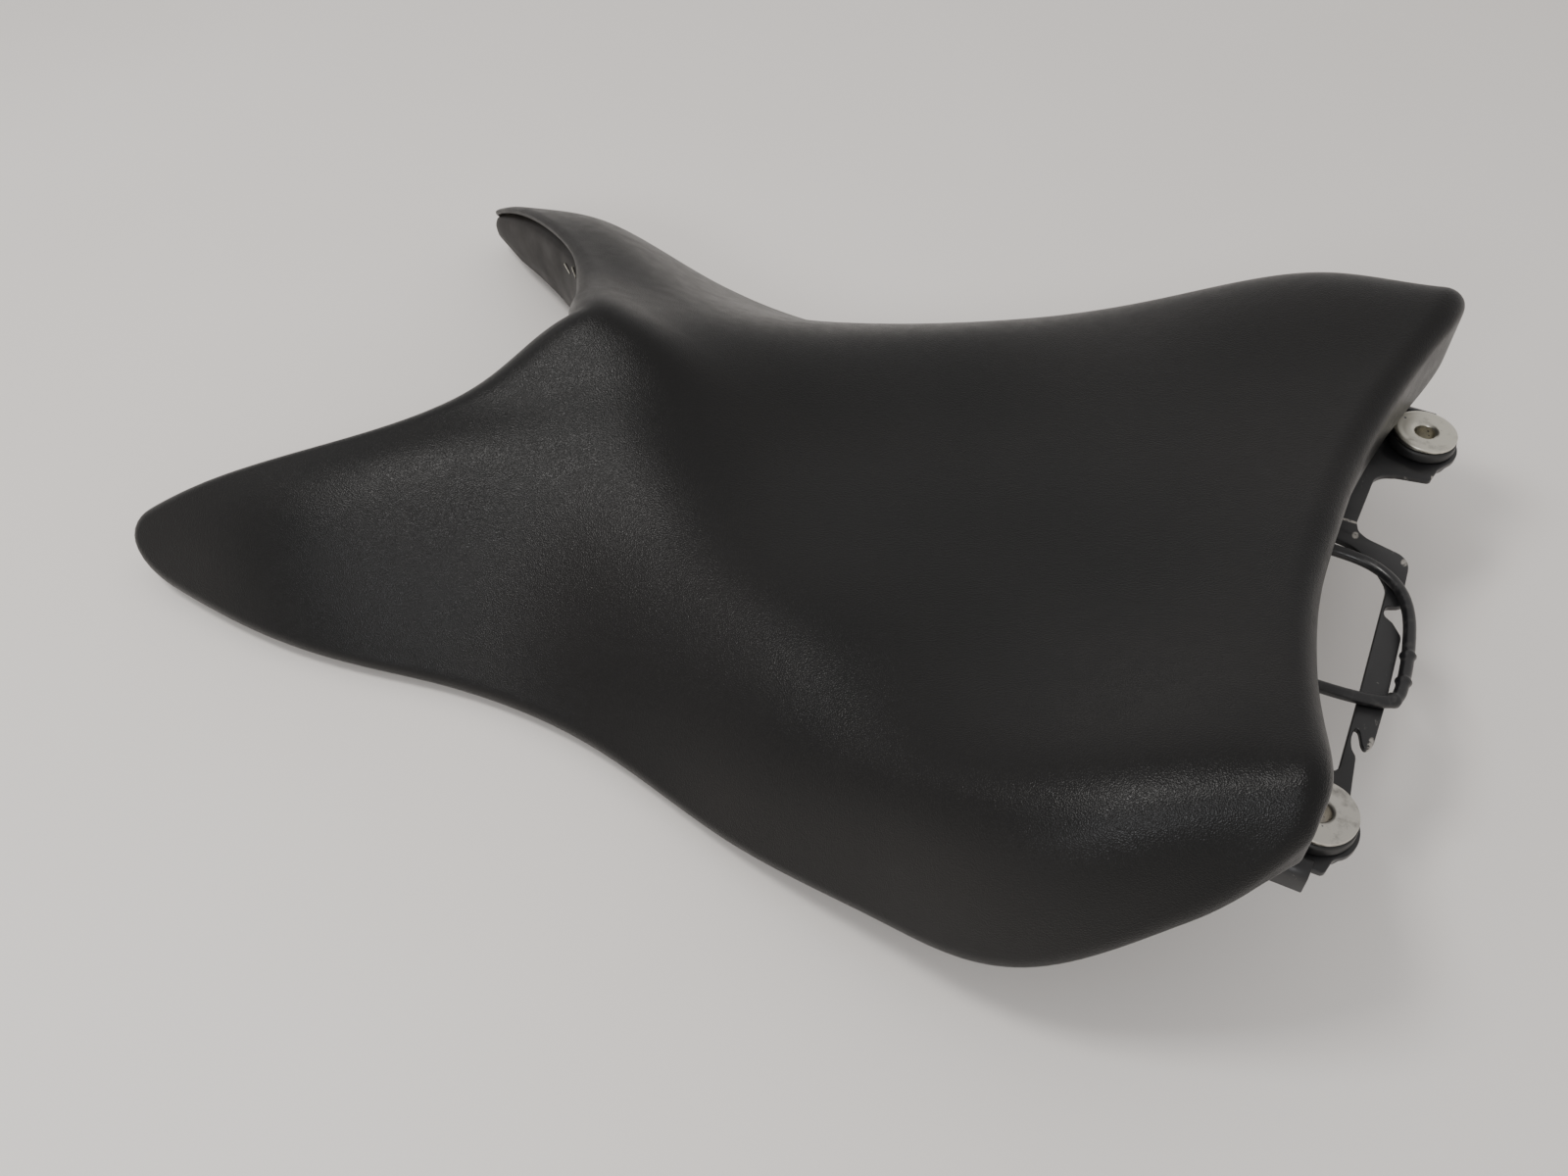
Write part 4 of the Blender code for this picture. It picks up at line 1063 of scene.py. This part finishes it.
def make_anchor(side, y, finish):
    """A moulded block that holds one end of the cable."""
    start = ANCHOR_REACH[0]
    widths = (y - ANCHOR_HALF_WIDTH, y + ANCHOR_HALF_WIDTH)
    heights = (PLATE_TOP + GAP, PLATE_TOP + ANCHOR_HEIGHT)
    corners = [(x, across, height) for x in ANCHOR_REACH for across in widths for height in heights]
    faces = [(0, 1, 3, 2), (4, 6, 7, 5), (0, 4, 5, 1), (2, 3, 7, 6), (0, 2, 6, 4), (1, 5, 7, 3)]
    block = add_mesh(f"anchor_block_{side}", corners, faces, finish)
    round_edges(block, 0.8)
    sides = 32
    outer, inner = (circle((y, CABLE_Z), CABLE_RADIUS + wall, sides) for wall in (1.2, 0.15))
    points = []
    for x, ring in ((start - 2.5, outer), (start + 1, outer), (start + 1, inner), (start - 2.5, inner)):
        points += [(x, across, height) for across, height in ring]
    rings = [np.arange(k * sides, (k + 1) * sides) for k in range(4)]
    faces = []
    for k in range(4):
        faces += ring_faces(rings[k], rings[(k + 1) % 4])
    sleeve = add_mesh(f"anchor_sleeve_{side}", points, faces, finish)
    settle(join(f"anchor_{side}", [block, sleeve]), "root", "base_plastic", f"cable_anchor_{side}")


def staple(centre, along, down):
    """The corner points and faces of one staple's crown: a thin wire with its ends turned in."""
    across = unit(np.cross(along, down))
    half = STAPLE_LENGTH / 2
    ends = [sign * half * along for sign in (-1, 1)]
    path = [ends[0] - STAPLE_TURN * down, *(end + 0.1 * down for end in ends), ends[1] - STAPLE_TURN * down]
    points = []
    for spot in path:
        lengthways = np.sign(spot @ along) * along
        for wide, deep in ((1, 1), (1, -1), (-1, -1), (-1, 1)):
            inward = -0.35 * lengthways if deep < 0 else 0 * along
            points.append(centre + spot + STAPLE_WIRE * (wide * across + 0.5 * deep * down) + inward)
    faces = [(0, 1, 2, 3), (15, 14, 13, 12)]
    for k in range(3):
        a = 4 * k
        faces += [(a + i, a + 4 + i, a + 4 + (i + 1) % 4, a + (i + 1) % 4) for i in range(4)]
    return points, faces


def make_staples(cover_skin, edge, panel, finish):
    """The staples all round under the cover's folded edge, and two where each wing's seam ends."""
    rings = cover_skin.points[ROWS * COLUMNS :].reshape(-1, len(edge.index), 3)
    outer, inner = rings[-2], rings[-1]
    middle = (outer + inner) / 2
    lip_width = np.linalg.norm(outer - inner, axis=1)
    steps = np.linalg.norm(np.roll(middle, -1, 0) - middle, axis=1)
    places = np.cumsum(steps)
    points, faces = [], []

    def add(centre, along, down):
        more, more_faces = staple(centre, along, down)
        faces.extend([tuple(len(points) + k for k in face) for face in more_faces])
        points.extend(more)

    for distance in np.arange(STAPLE_SPACING, places[-1], STAPLE_SPACING):
        k = int(np.searchsorted(places, distance)) % len(middle)
        if lip_width[k] < STAPLE_LEAST_LIP:
            continue
        along = unit(middle[(k + 2) % len(middle)] - middle[k - 2])
        add(middle[k] - [0, 0, 0.2], along, np.array([0.0, 0.0, -1.0]))
    for share, across in PANEL_STAPLES:
        for sign in SIDES.values():
            on_wing = edge.at_front & (sign * edge.points[:, 1] > 0)
            k = int(np.argmin(np.where(on_wing, abs(edge.across - across), 9)))
            along = unit((panel[share][k + 2] - panel[share][k - 2]) * [1, 1, 0])
            add(panel[share][k] + 0.3 * edge.outward[k], along, edge.outward[k])
    staples = add_mesh("staples", points, faces, finish)
    settle(staples, "root", "zinc_plated_steel")


def make_cable(finish):
    """The coated cable loop, whose ends go back into the seat's two anchors."""
    route = np.array([(x, y, CABLE_Z) for x, y in CABLE_ROUTE], float)
    steps = np.linalg.norm(np.diff(route, axis=0), axis=1)
    knots = np.concatenate([[0], np.cumsum(steps)])
    points = natural_spline(knots, route, np.linspace(0, knots[-1], CABLE_POINTS))
    curve = bpy.data.curves.new("cable", "CURVE")
    curve.dimensions = "3D"
    curve.bevel_depth = CABLE_RADIUS * MM
    curve.bevel_resolution = 8
    curve.use_fill_caps = True
    spline = curve.splines.new("POLY")
    spline.points.add(len(points) - 1)
    for point, where in zip(spline.points, points):
        point.co = (*place(where), 1)
        nearest = min(abs(where[1] - nub) for nub in CABLE_NUBS) if where[0] < -10 else 9
        point.radius = 1 + CABLE_SWELLING * math.exp(-((nearest / 0.9) ** 2))
    cable = add_object("cable", curve)
    curve.materials.append(finish)
    settle(cable, "root", "cable_coating", "cable_loop")
    place(points[0])


# ---------------- main

add_camera()
add_studio()

VINYL = vinyl_material()
FOAM = foam_material()
BASE_PLASTIC = moulded_material("base_plastic", (0.010, 0.009, 0.0088), (0.018, 0.016, 0.015), 0.5)
PAINT = painted_steel_material()
ZINC = zinc_material("zinc", (0.66, 0.64, 0.56), (0.42, 0.41, 0.36), 0.05)
OLD_ZINC = zinc_material("old_zinc", (0.56, 0.54, 0.49), (0.30, 0.29, 0.27), 0.12)
RUBBER = rubber_material()
JACKET = cable_material()

make_cable(JACKET)
patch = Patch()
u, v = surface_places()
grid = patch.points(u, v)
normals = patch.normals(u, v)
edge = Edge(grid, normals)
top_of_base = base_top(grid, normals, edge)
cover, cover_skin = make_cover(grid, edge, VINYL)
foam = make_foam(grid, edge, top_of_base, FOAM)
panel = make_base(edge, top_of_base, BASE_PLASTIC)
make_bosses(top_of_base, BASE_PLASTIC)
make_staples(cover_skin, edge, panel, ZINC)
make_bracket(PAINT)
for side, sign in SIDES.items():
    make_mount(side, sign * MOUNT_Y, OLD_ZINC if side == "left" else ZINC, RUBBER)
    for bumper_place, (x, y) in BUMPER_PLACES.items():
        name = f"{bumper_place}_{side}"
        settle(make_bumper(name, (x, sign * y), RUBBER), "root", "rubber", f"bumper_{name}")
for name, centre in BOLT_PLACES.items():
    bolt = make_bolt(f"bolt_{name}", centre, BOLT_RADIUS, 10, ZINC)
    settle(bolt, "root", "zinc_plated_steel", f"bracket_bolt_{name}")
for side, y in ANCHOR_PLACES.items():
    make_anchor(side, y, BASE_PLASTIC)
    screw = make_bolt(f"screw_{side}", (ANCHOR_SCREW_X, y), ANCHOR_SCREW_RADIUS, 6.5, ZINC)
    settle(screw, "root", "zinc_plated_steel", f"anchor_screw_{side}")
make_hook(PAINT, ZINC)
